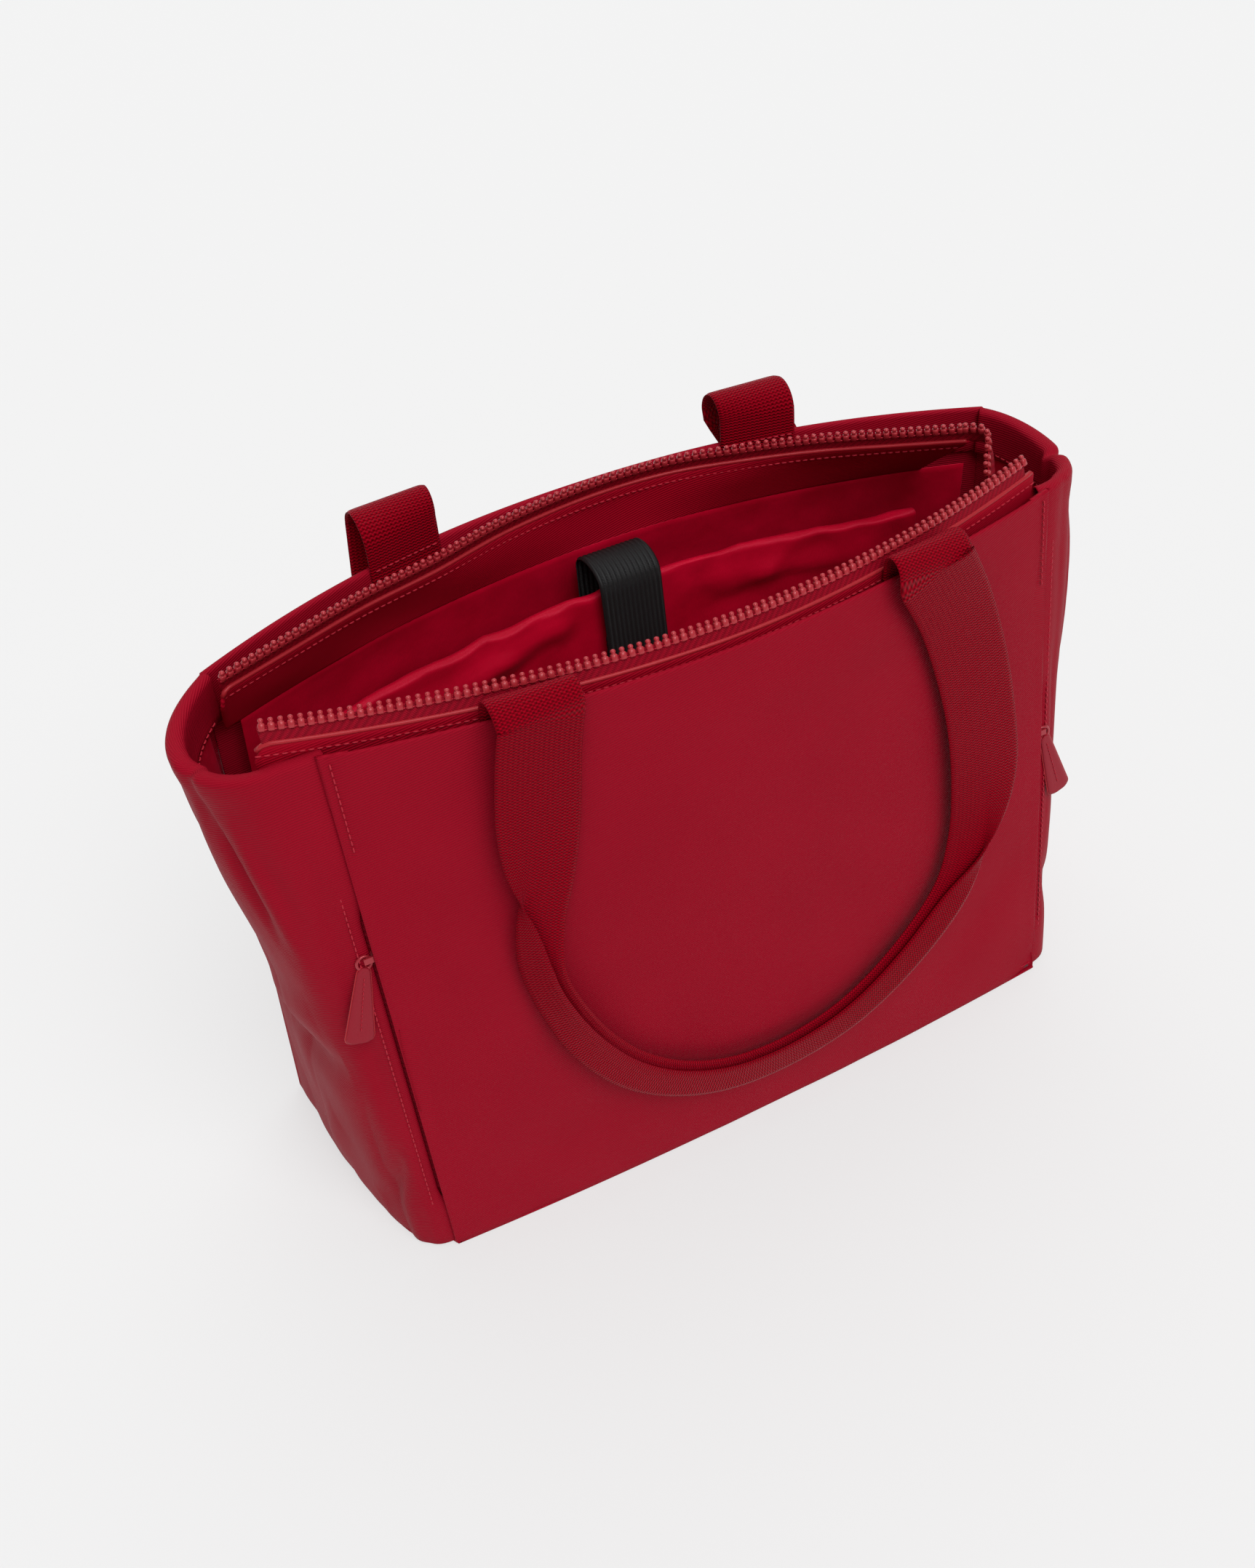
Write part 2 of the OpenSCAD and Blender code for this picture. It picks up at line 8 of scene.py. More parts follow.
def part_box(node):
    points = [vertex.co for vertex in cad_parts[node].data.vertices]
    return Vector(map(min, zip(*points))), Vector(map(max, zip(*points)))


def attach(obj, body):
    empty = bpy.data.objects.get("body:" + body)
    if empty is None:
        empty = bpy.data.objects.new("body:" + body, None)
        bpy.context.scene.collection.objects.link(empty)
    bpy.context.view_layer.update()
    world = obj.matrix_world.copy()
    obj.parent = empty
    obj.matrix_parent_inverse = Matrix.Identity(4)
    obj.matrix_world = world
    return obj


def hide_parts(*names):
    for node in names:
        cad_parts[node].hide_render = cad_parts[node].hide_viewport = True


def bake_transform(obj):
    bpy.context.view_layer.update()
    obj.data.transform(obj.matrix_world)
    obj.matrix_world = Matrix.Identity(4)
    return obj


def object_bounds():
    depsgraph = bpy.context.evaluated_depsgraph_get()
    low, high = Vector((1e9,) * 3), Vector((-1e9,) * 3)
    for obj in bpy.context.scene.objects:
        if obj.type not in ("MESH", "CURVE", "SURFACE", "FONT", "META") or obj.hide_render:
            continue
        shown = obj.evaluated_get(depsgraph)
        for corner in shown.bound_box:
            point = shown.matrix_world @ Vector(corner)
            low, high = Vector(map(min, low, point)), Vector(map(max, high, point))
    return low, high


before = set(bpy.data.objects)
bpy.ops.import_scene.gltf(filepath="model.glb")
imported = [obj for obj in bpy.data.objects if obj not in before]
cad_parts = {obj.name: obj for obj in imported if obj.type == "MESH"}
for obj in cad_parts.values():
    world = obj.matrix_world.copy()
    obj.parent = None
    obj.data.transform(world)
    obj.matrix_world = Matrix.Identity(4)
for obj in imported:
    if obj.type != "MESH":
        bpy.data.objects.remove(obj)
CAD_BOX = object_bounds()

# ---------------------------------------------------------------- sizes, in millimetres
MM = 0.001
BODY_H = 290.0
FRONT_HALF = 176.0
FRONT_FOOT_Y = -79.0
FRONT_FOOT_BOW = 6.0
FRONT_RIM_Y = -48.0
FRONT_RIM_BOW = 26.0
FRONT_RIM_POWER = 1.8
BACK_HALF_LOW = 212.0
BACK_HALF_TOP = 200.0
BACK_FOOT_Y = 62.0
BACK_FOOT_DIP = 4.0
BACK_RIM_Y = 35.0
BACK_RIM_BOW = 50.0
BACK_RIM_POWER = 2.2
CLOTH_T = 0.9
LINING_T = 0.5
HEM_R = 0.95
HEM_DEPTH = 24.0
HEM_ROW = 21.5
RIM_R = 3.1
FACING_Z0 = 262.0
FACING_LEFT = -197.0
FACING_GAP = 5.5
FACING_DRIFT = 0.6
FACING_FRONT_RIGHT = 170.0
TRIM_R = 1.1
TAPE_W = 6.0
FRONT_LEAN = math.radians(25)
BACK_LEAN = math.radians(-14)
TOOTH_PITCH = 3.8
WEBBING_W = 38.0
WEBBING_T = 1.5
SEAT_X = 93.0
SEAT_DEPTH = 26.0
FRONT_AXIS = (-70.0, 292.5)
BACK_AXIS = (82.0, 301.0)
FRONT_LEG_R = 7.0
BACK_LEG_R = 9.3
BASE_TOP = 4.6
LINING_TOP = 261.6
SLEEVE_HALF = 150.0
SLEEVE_TOP = 256.0
SLEEVE_Z0 = 5.8
STRAP_X = 2.0
STRAP_W = 32.0
STRAP_T = 1.3
STRAP_RIBS = 13
ZIP_X = 172.0
ZIP_RECESS = 7.0
ZIP_LOW = 60.0
ZIP_HIGH = 236.0
LEFT_SLIDER_Z = 186.0
RIGHT_SLIDER_Z = 156.0
POST = (7.5, 4.2)
PULLER_LEAN = math.radians(-16)
PULLER_HALF_T = 1.15
RING_DROP = 3.8
SEAM_FROM_EDGE = 4.0
SEAM_LENGTH = 47.0


# ---------------------------------------------------------------- small helpers
def lerp(a, b, t):
    return a + (b - a) * t


def smooth(t):
    t = np.clip(t, 0, 1)
    return t * t * (3 - 2 * t)


def unit(v):
    return v / np.maximum(np.linalg.norm(v, axis=-1, keepdims=True), 1e-9)


def xyz(x, y, z):
    return np.stack(np.broadcast_arrays(x, y, z), axis=-1).astype(float)


def curve(points, u):
    """A smooth curve through the listed points, at u from 0 to 1."""
    p = np.asarray(points, float)
    last = len(p) - 1
    s = np.clip(np.asarray(u, float), 0, 0.999999) * last
    i = s.astype(int)
    t = (s - i)[..., None]
    a, b = p[np.maximum(i - 1, 0)], p[i]
    c, d = p[np.minimum(i + 1, last)], p[np.minimum(i + 2, last)]
    return 0.5 * (2 * b + (c - a) * t + (2 * a - 5 * b + 4 * c - d) * t**2 + (3 * b - a - 3 * c + d) * t**3)


def cloud(p, size, seed, octaves=2):
    """Smooth relief of about -1 to 1 with bumps of about size millimetres, which may differ per axis."""
    q = np.asarray(p, float) / np.asarray(size, float)
    shift = Vector((seed * 7.31, seed * 3.77, seed * 5.13))
    flat = [noise.fractal(Vector(v) + shift, 1.0, 2.0, octaves) for v in q.reshape(-1, 3)]
    return np.array(flat).reshape(q.shape[:-1])


def ridges(p, size, seed):
    """Relief like creases: 0 on smooth cloth and up to 1 along thin winding lines."""
    return np.clip(1 - 3.2 * np.abs(cloud(p, size, seed, 1)), 0, 1) ** 2


def crease(a, b, start, end, width):
    """1 along the line from start to end in the plane of a and b, fading over width and towards both ends."""
    s, e = np.array(start, float), np.array(end, float)
    d = e - s
    along = np.clip(((a - s[0]) * d[0] + (b - s[1]) * d[1]) / (d @ d), 0, 1)
    gap = np.hypot(a - s[0] - along * d[0], b - s[1] - along * d[1])
    return np.exp(-((gap / width) ** 2)) * np.sqrt(np.sin(np.pi * np.clip(along, 0.02, 0.98)))


def creases(a, b, listed):
    """The sum of listed creases, each (height, start, end, width)."""
    return sum(height * crease(a, b, start, end, width) for height, start, end, width in listed)


def box_middle(node):
    """The middle of a CAD node's box, in millimetres."""
    lo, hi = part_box(node)
    return (np.array(lo) + np.array(hi)) / 2 / MM


# ---------------------------------------------------------------- the bag's plan curves
def front_y(x, h):
    """The front wall, at x and at h as a share of the height."""
    low = FRONT_FOOT_Y - FRONT_FOOT_BOW * (1 - (x / FRONT_HALF) ** 2)
    top = FRONT_RIM_Y - FRONT_RIM_BOW * (1 - np.abs(x / FRONT_HALF) ** FRONT_RIM_POWER)
    return lerp(low, top, h)


def back_y(x, h):
    """The back wall, in the same way."""
    low = BACK_FOOT_Y - BACK_FOOT_DIP * (x / BACK_HALF_LOW) ** 2
    top = BACK_RIM_Y + BACK_RIM_BOW * (1 - np.abs(x / BACK_HALF_TOP) ** BACK_RIM_POWER)
    return lerp(low, top, h)


# Each side wall's plan, as a Bezier curve from the front to the back, and how far it bulges at the rim
GUSSET_TOP = [(178, -41), (218, -48), (228, 10), (200, 35)]
GUSSET_BASE = [(178, -72), (205, -78), (203, 0), (212, 58)]
SIDE_BULGE = {-1: 9.5, 1: -5.0}
GUSSET_ROUND = 260.0
RIM_DIP = 4.0


def bezier(p, t):
    p = np.asarray(p, float)
    t = np.asarray(t)[..., None]
    return (1 - t) ** 3 * p[0] + 3 * t * (1 - t) ** 2 * p[1] + 3 * t**2 * (1 - t) * p[2] + t**3 * p[3]


def gusset_plan(t, h, inset=0.0, side=1):
    """Plan position of a side wall as if on the right, moved inwards by inset. The left wall bulges more."""
    bulge = SIDE_BULGE[side] * np.sin(np.pi * np.clip(t, 0, 1)) ** 1.5 * smooth((np.asarray(h) - 0.3) / 0.7)
    inset = inset - bulge
    h = np.asarray(h)[..., None]
    at = lerp(bezier(GUSSET_BASE, t), bezier(GUSSET_TOP, t), h)
    step = lerp(bezier(GUSSET_BASE, t + 0.01), bezier(GUSSET_TOP, t + 0.01), h) - at
    inwards = unit(np.stack([-step[..., 1], step[..., 0]], axis=-1))
    return at + inwards * np.asarray(inset)[..., None]


def front_facing_y(x):
    return front_y(x, 1.0) + FACING_GAP + FACING_DRIFT * (x / 120) ** 2


def front_facing_top(x):
    return BODY_H + np.where(x < 0, 5, 9) * (x / 180) ** 2


# The back facing's top edge, from left to right
BACK_TRIM = [
    (-196, 18, 287), (-162, 30, 287), (-124, 43, 287), (-86, 52, 287), (-45, 63, 288), (0, 69, 288),
    (40, 67, 288), (76, 55, 289), (110, 40, 290), (145, 18, 292), (168, 2, 294),
]


def front_facing_at(u, v):
    x = lerp(FACING_LEFT, FACING_FRONT_RIGHT, u)
    return xyz(x, front_facing_y(x), lerp(FACING_Z0, front_facing_top(x), v))


def back_facing_at(u, v):
    top = curve(BACK_TRIM, u)
    foot = xyz(top[..., 0], 70 - 43 * (top[..., 0] / 200) ** 2, FACING_Z0)
    return lerp(foot, top, np.asarray(v)[..., None])


def zip_line(z):
    return FRONT_FOOT_Y + (FRONT_RIM_Y - FRONT_FOOT_Y) * z / BODY_H


def on_zip(side, z, local):
    """Local x outwards, y inwards, z up the side zip, to the bag's own axes."""
    lean = math.atan((FRONT_RIM_Y - FRONT_FOOT_Y) / BODY_H)
    p = np.asarray(local, float)
    y = p[..., 1] * math.cos(lean) + p[..., 2] * math.sin(lean)
    up = -p[..., 1] * math.sin(lean) + p[..., 2] * math.cos(lean)
    return xyz(side * (ZIP_X + p[..., 0]), zip_line(z) + y, z + up)


# ---------------------------------------------------------------- meshes
def make_mesh(name, verts, faces, weave, look):
    """A mesh piece from points in millimetres; weave holds each point's place on the flat cloth in metres."""
    slot, material = look
    data = bpy.data.meshes.new(name)
    data.from_pydata((np.asarray(verts) * MM).tolist(), [], faces)
    data.attributes.new("weave", "FLOAT_VECTOR", "POINT").data.foreach_set(
        "vector", np.asarray(weave, np.float32).ravel())
    data.polygons.foreach_set("use_smooth", [True] * len(data.polygons))
    data.update()
    data.materials.append(material)
    piece = bpy.data.objects.new(name, data)
    bpy.context.scene.collection.objects.link(piece)
    return piece


def run_length(points):
    return np.concatenate([[0], np.cumsum(np.linalg.norm(np.diff(points, axis=0), axis=1))])


def cloth(name, grid, thick, look, relief=None):
    """A sheet of cloth with a rounded edge: grid is its outer face, relief lifts that face."""
    nu, nv = grid.shape[0], grid.shape[1]
    normal = unit(np.cross(np.gradient(grid, axis=0), np.gradient(grid, axis=1)))
    outer = grid if relief is None else grid + normal * relief[..., None]
    normal = unit(np.cross(np.gradient(outer, axis=0), np.gradient(outer, axis=1)))
    inner = outer - normal * thick
    ring = [(i, 0) for i in range(nu)] + [(nu - 1, j) for j in range(1, nv)]
    ring += [(i, nv - 1) for i in range(nu - 2, -1, -1)] + [(0, j) for j in range(nv - 2, 0, -1)]
    ri = np.array([r[0] for r in ring])
    rj = np.array([r[1] for r in ring])
    away = unit(outer[ri, rj] - outer[np.clip(ri, 1, nu - 2), np.clip(rj, 1, nv - 2)])
    edge = (outer[ri, rj] + inner[ri, rj]) / 2 + away * thick * 0.45
    index = np.arange(nu * nv).reshape(nu, nv)
    a, b, c, d = index[:-1, :-1], index[1:, :-1], index[1:, 1:], index[:-1, 1:]
    top = np.stack([a, b, c, d], -1).reshape(-1, 4)
    low = np.stack([a, d, c, b], -1).reshape(-1, 4) + nu * nv
    rim = index[ri, rj]
    nxt = np.roll(rim, -1)
    mid = 2 * nu * nv + np.arange(len(ring))
    mid_next = np.roll(mid, -1)
    upper = np.stack([rim, mid, mid_next, nxt], -1)
    lower = np.stack([mid, rim + nu * nv, nxt + nu * nv, mid_next], -1)
    faces = np.concatenate([top, low, upper, lower]).tolist()
    step_u, step_v = (np.linalg.norm(np.diff(grid, axis=way), axis=-1) for way in (0, 1))
    su = np.cumsum(np.concatenate([np.zeros((1, nv)), step_u]), axis=0)
    sv = np.cumsum(np.concatenate([np.zeros((nu, 1)), step_v], 1), axis=1)
    flat = xyz(su * MM, sv * MM, 0.0)
    verts = np.concatenate([outer.reshape(-1, 3), inner.reshape(-1, 3), edge])
    weave = np.concatenate([flat.reshape(-1, 3), flat.reshape(-1, 3), flat[ri, rj]])
    piece = make_mesh(name, verts, faces, weave, look)
    piece["cut_w"] = float(su[-1].mean() * MM)
    piece["cut_l"] = float(sv[:, -1].mean() * MM)
    return piece


def sweep(name, rings, look):
    """A closed tube through rings of points, all with the same count."""
    n, k = rings.shape[0], rings.shape[1]
    index = np.arange(n * k).reshape(n, k)
    side = np.roll(index, -1, axis=1)
    faces = np.stack([index[:-1], side[:-1], side[1:], index[1:]], -1).reshape(-1, 4).tolist()
    faces += [index[0, ::-1].tolist(), index[-1].tolist()]
    along = run_length(rings.mean(axis=1))[:, None] * MM
    steps = np.linalg.norm(np.diff(rings, axis=1), axis=-1)
    around = np.concatenate([np.zeros((n, 1)), np.cumsum(steps, axis=1)], 1) * MM
    weave = xyz(around, along, 0.0)
    return make_mesh(name, rings.reshape(-1, 3), faces, weave.reshape(-1, 3), look)


def copies(name, template, faces, places, look):
    """One mesh of many copies of a small template; places are (origin, 3x3 axes as columns)."""
    origins = np.array([p[0] for p in places])
    axes = np.array([p[1] for p in places])
    verts = np.einsum("nij,kj->nki", axes, template) + origins[:, None]
    count = len(template)
    every = [[i + n * count for i in face] for n in range(len(places)) for face in faces]
    weave = np.tile(template * MM, (len(places), 1))
    return make_mesh(name, verts.reshape(-1, 3), every, weave, look)


def even(points, step):
    """Places at equal distances along a line: (points, directions)."""
    run = run_length(points)
    at = np.arange(0.5 * step, run[-1], step)

    def place(distance):
        return np.stack([np.interp(distance, run, points[:, k]) for k in range(3)], -1)

    return place(at), unit(place(at + 0.6) - place(at - 0.6))


def tube_faces(rings, sides):
    """Faces of a closed tube whose points run round each ring in turn."""
    faces = []
    for low in range(0, (rings - 1) * sides, sides):
        for k in range(sides):
            nxt = (k + 1) % sides
            faces.append([low + k, low + nxt, low + sides + nxt, low + sides + k])
    return faces + [list(range(sides))[::-1], list(range((rings - 1) * sides, rings * sides))]


def capsule(length, radius):
    """A stitch along x that dips at both ends."""
    sides = 6
    xs = np.array([-0.5, -0.42, -0.2, 0.2, 0.42, 0.5]) * length
    rs = np.array([0.25, 0.75, 1, 1, 0.75, 0.25]) * radius
    dip = np.array([-1.1, -0.35, 0, 0, -0.35, -1.1]) * radius
    angle = np.arange(sides) * 2 * math.pi / sides
    rows = zip(xs, rs, dip)
    verts = np.array([[x, r * math.cos(t), r * math.sin(t) + d] for x, r, d in rows for t in angle])
    return verts, tube_faces(len(xs), sides)


def towards(x, y, z):
    """The same facing direction at every stitch."""
    return lambda points: np.tile([x, y, z], (len(points), 1))


# A stitch's step along its row, its length and its radius
SEAM = (3.4, 2.6, 0.4)
PULLER_SEAM = (2.4, 1.8, 0.28)
ZIP_CORD = (1.9, 1.9, 0.34)


def stitches(name, lines, out, slot="coated_fabric", lift=0.12, thread=SEAM):
    """Rows of thread along lines; out(points) gives the direction that the cloth faces there."""
    step, length, radius = thread
    template, faces = capsule(length, radius)
    places = []
    for line in lines:
        at, along = even(np.asarray(line, float), step)
        up = unit(out(at))
        across = unit(np.cross(up, along))
        up = np.cross(along, across)
        places += [(p + u * lift, np.stack([t, s, u], -1)) for p, t, s, u in zip(at, along, across, up)]
    return copies(name, template, faces, places, (slot, THREAD))


# ---------------------------------------------------------------- materials
def nodes_of(name):
    material = bpy.data.materials.new(name)
    material.use_nodes = True
    tree = material.node_tree
    return material, tree, tree.nodes["Principled BSDF"]


def scaled(tree, socket, factor):
    return math_node(tree, "MULTIPLY", socket, factor)


def math_node(tree, kind, a, b=None, c=None):
    node = tree.nodes.new("ShaderNodeMath")
    node.operation = kind
    for socket, value in zip(node.inputs, (a, b, c)):
        if value is None:
            continue
        if isinstance(value, (int, float)):
            socket.default_value = value
        else:
            tree.links.new(value, socket)
    return node.outputs[0]


def weave_axes(tree):
    """The place on the flat cloth, in metres, as (vector, u, v)."""
    at = tree.nodes.new("ShaderNodeAttribute")
    at.attribute_name = "weave"
    split = tree.nodes.new("ShaderNodeSeparateXYZ")
    tree.links.new(at.outputs["Vector"], split.inputs[0])
    return at.outputs["Vector"], split.outputs[0], split.outputs[1]


def stripes(tree, u, v, pitch_mm, turn_deg):
    """A sine across the cloth, of that pitch, turned from the u axis."""
    k = 2 * math.pi / (pitch_mm * MM)
    a = scaled(tree, u, k * math.cos(math.radians(turn_deg)))
    b = scaled(tree, v, k * math.sin(math.radians(turn_deg)))
    return math_node(tree, "SINE", math_node(tree, "ADD", a, b))


def mottle(tree, vector, size_mm, detail):
    node = tree.nodes.new("ShaderNodeTexNoise")
    node.inputs["Scale"].default_value = 1 / (size_mm * MM)
    node.inputs["Detail"].default_value = detail
    tree.links.new(vector, node.inputs["Vector"])
    return node.outputs[0]


def tint(tree, factor, dark, light):
    ramp = tree.nodes.new("ShaderNodeMix")
    ramp.data_type = "RGBA"
    ramp.inputs["A"].default_value = (*dark, 1)
    ramp.inputs["B"].default_value = (*light, 1)
    tree.links.new(factor, ramp.inputs["Factor"])
    return ramp.outputs["Result"]


def bump(tree, height, depth_mm, strength):
    node = tree.nodes.new("ShaderNodeBump")
    node.inputs["Distance"].default_value = depth_mm * MM
    node.inputs["Strength"].default_value = strength
    tree.links.new(height, node.inputs["Height"])
    return node.outputs[0]


def finish_cloth(tree, shader, colour, normal, rough, sheen, spec, tone):
    """sheen is (weight, roughness, tint); tone is the colour of the shine."""
    weight, sheen_rough, sheen_tint = sheen
    shader.inputs["Specular Tint"].default_value = (*tone, 1)
    tree.links.new(colour, shader.inputs["Base Color"])
    tree.links.new(normal, shader.inputs["Normal"])
    shader.inputs["Roughness"].default_value = rough
    shader.inputs["Sheen Weight"].default_value = weight
    shader.inputs["Sheen Roughness"].default_value = sheen_rough
    shader.inputs["Sheen Tint"].default_value = (*sheen_tint, 1)
    shader.inputs["Specular IOR Level"].default_value = spec


def twill(name, dark, light):
    """Coated twill: a fine diagonal wale under a matte coating."""
    material, tree, shader = nodes_of(name)
    vector, u, v = weave_axes(tree)
    wale = stripes(tree, u, v, 1.15, 103)
    thread = stripes(tree, u, v, 0.42, 0)
    grain = mottle(tree, vector, 0.9, 2.0)
    broad = mottle(tree, vector, 55.0, 2.0)
    height = math_node(tree, "ADD", scaled(tree, wale, 0.8), scaled(tree, thread, 0.1))
    height = math_node(tree, "ADD", height, scaled(tree, grain, 0.25))
    shade = math_node(tree, "MULTIPLY_ADD", wale, 0.20, 0.28)
    shade = math_node(tree, "ADD", shade, scaled(tree, broad, 0.4))
    finish_cloth(tree, shader, tint(tree, shade, dark, light), bump(tree, height, 0.14, 0.8),
                 0.50, (0.0, 0.4, (1.0, 0.2, 0.28)), 0.06, (1.0, 0.42, 0.50))
    return material


def satin(name, dark, light):
    """Satin lining: smooth, with long fine threads one way."""
    material, tree, shader = nodes_of(name)
    vector, u, v = weave_axes(tree)
    thread = stripes(tree, u, v, 0.5, 0)
    broad = mottle(tree, vector, 26.0, 4.0)
    height = math_node(tree, "ADD", scaled(tree, thread, 0.1), scaled(tree, broad, 3.0))
    finish_cloth(tree, shader, tint(tree, broad, dark, light), bump(tree, height, 0.5, 0.6),
                 0.36, (0.08, 0.3, (1.0, 0.15, 0.25)), 0.40, (1.0, 0.20, 0.32))
    shader.inputs["Anisotropic"].default_value = 0.4
    return material


def woven(name, dark, light, rib_mm, cross_mm, rough, spec, tone, depth, lean=0.0, sheen=0.0):
    """Woven band: ribs across its width and finer threads along it."""
    material, tree, shader = nodes_of(name)
    vector, u, v = weave_axes(tree)
    rib = stripes(tree, u, v, rib_mm, 90 - lean)
    warp = stripes(tree, u, v, cross_mm, lean)
    both = math_node(tree, "MULTIPLY", rib, warp)
    grain = mottle(tree, vector, 0.6, 3.0)
    height = math_node(tree, "ADD", scaled(tree, rib, 0.6), scaled(tree, both, 0.5))
    height = math_node(tree, "ADD", height, scaled(tree, grain, 0.6))
    shade = math_node(tree, "MULTIPLY_ADD", both, 0.36, 0.30)
    shade = math_node(tree, "ADD", shade, scaled(tree, grain, 0.36))
    finish_cloth(tree, shader, tint(tree, shade, dark, light), bump(tree, height, depth, 0.9),
                 rough, (sheen, 0.25, (1.0, 0.06, 0.12)), spec, tone)
    return material


RED_SHINE = (1.0, 0.4, 0.42)
PLAIN_SHINE = (1.0, 1.0, 1.0)


def solid_look(name, dark, light, grain_mm, rough, depth, coat=0.0, metallic=0.0, spec=0.35, tone=RED_SHINE):
    """Moulded plastic, leather or enamel with a fine grain."""
    material, tree, shader = nodes_of(name)
    vector, u, v = weave_axes(tree)
    grain = mottle(tree, vector, grain_mm, 4.0)
    tree.links.new(tint(tree, grain, dark, light), shader.inputs["Base Color"])
    tree.links.new(bump(tree, grain, depth, 0.6), shader.inputs["Normal"])
    shader.inputs["Roughness"].default_value = rough
    shader.inputs["Specular IOR Level"].default_value = spec
    shader.inputs["Specular Tint"].default_value = (*tone, 1)
    shader.inputs["Coat Weight"].default_value = coat
    shader.inputs["Coat Roughness"].default_value = 0.25
    shader.inputs["Metallic"].default_value = metallic
    return material


# Each look is a slot and its material; the CAD's own metal and the thread have a material only
TWILL = ("coated_fabric", twill("coated_twill", (0.230, 0.0020, 0.0110), (0.345, 0.0050, 0.0195)))
FACING = ("coated_fabric", twill("facing_twill", (0.260, 0.0015, 0.0100), (0.380, 0.0030, 0.0170)))
SATIN = ("lining_satin", satin("lining_satin", (0.240, 0.0005, 0.0070), (0.560, 0.0024, 0.0270)))
WEBBING = ("webbing", woven("handle_webbing", (0.045, 0.0001, 0.0012), (0.400, 0.0010, 0.0125), 1.5, 2.2,
                            0.34, 0.07, (1.0, 0.10, 0.18), 0.45, sheen=0.22))
TAPE = ("zip_tape", woven("zip_tape_weave", (0.130, 0.0008, 0.0050), (0.360, 0.0030, 0.0170), 0.8, 0.8,
                          0.5, 0.2, (1.0, 0.3, 0.4), 0.15, 35))
TEETH = ("zip_teeth", solid_look("moulded_teeth", (0.300, 0.012, 0.020), (0.430, 0.030, 0.040),
                                 1.2, 0.24, 0.03, 0.45))
EDGE = ("edge_paint", solid_look("edge_paint", (0.290, 0.008, 0.015), (0.380, 0.018, 0.026),
                                 1.5, 0.38, 0.05, 0.1))
LEATHER = ("leather_pull", solid_look("puller_leather", (0.205, 0.0050, 0.0140), (0.290, 0.0090, 0.0220),
                                      0.7, 0.46, 0.12, 0.05))
ENAMEL = solid_look("slider_enamel", (0.280, 0.012, 0.022), (0.360, 0.022, 0.034), 0.8, 0.28, 0.02, 0.5, 0.2)
THREAD = solid_look("thread", (0.300, 0.0080, 0.0200), (0.480, 0.0240, 0.0450), 0.3, 0.45, 0.08, spec=0.3)
ELASTIC = ("elastic", woven("black_elastic", (0.0025, 0.0025, 0.0028), (0.0120, 0.0125, 0.0130), 0.7, 2.4,
                            0.55, 0.3, PLAIN_SHINE, 0.15))
PILE = ("hook_and_loop", solid_look("hook_pile", (0.004, 0.004, 0.004), (0.020, 0.020, 0.021),
                                    0.6, 0.85, 0.5, tone=PLAIN_SHINE))
FOAM = ("foam", solid_look("foam", (0.030, 0.030, 0.032), (0.055, 0.055, 0.058),
                           1.0, 0.9, 0.3, tone=PLAIN_SHINE))


# ---------------------------------------------------------------- who moves what
def on_body(piece, body, *nodes):
    """The piece rides on one body and stands for those CAD nodes."""
    if nodes:
        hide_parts(*nodes)
    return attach(piece, body)


def on_front(piece, *nodes):
    return on_body(piece, "front", *nodes)


def across_collapse(piece, *nodes):
    """The piece crosses from the back to the front, so it rides on no one body: its placement is baked into
    its points.
    """
    if nodes:
        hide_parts(*nodes)
    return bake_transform(piece)


# ---------------------------------------------------------------- hems
def over_fold(start, top, radius, depth, straight, arc=7, back=5):
    """Distances up a panel and inwards as the cloth runs to top, over a roll and down inside."""
    rise = top - radius
    turn = np.linspace(0, math.pi, arc + 2)[1:-1]
    up = np.concatenate([np.linspace(start, rise, straight), rise + radius * np.sin(turn),
                         np.linspace(rise, top - depth, back)])
    inwards = np.concatenate([np.zeros(straight), radius * (1 - np.cos(turn)), np.full(back, 2 * radius)])
    return up, inwards


def side_folds(half, radius, depth, straight):
    """The same across a panel with a fold at each side."""
    up, inwards = over_fold(0, half, radius, depth, straight, 7, 4)
    return np.concatenate([-up[:0:-1], up]), np.concatenate([inwards[:0:-1], inwards])


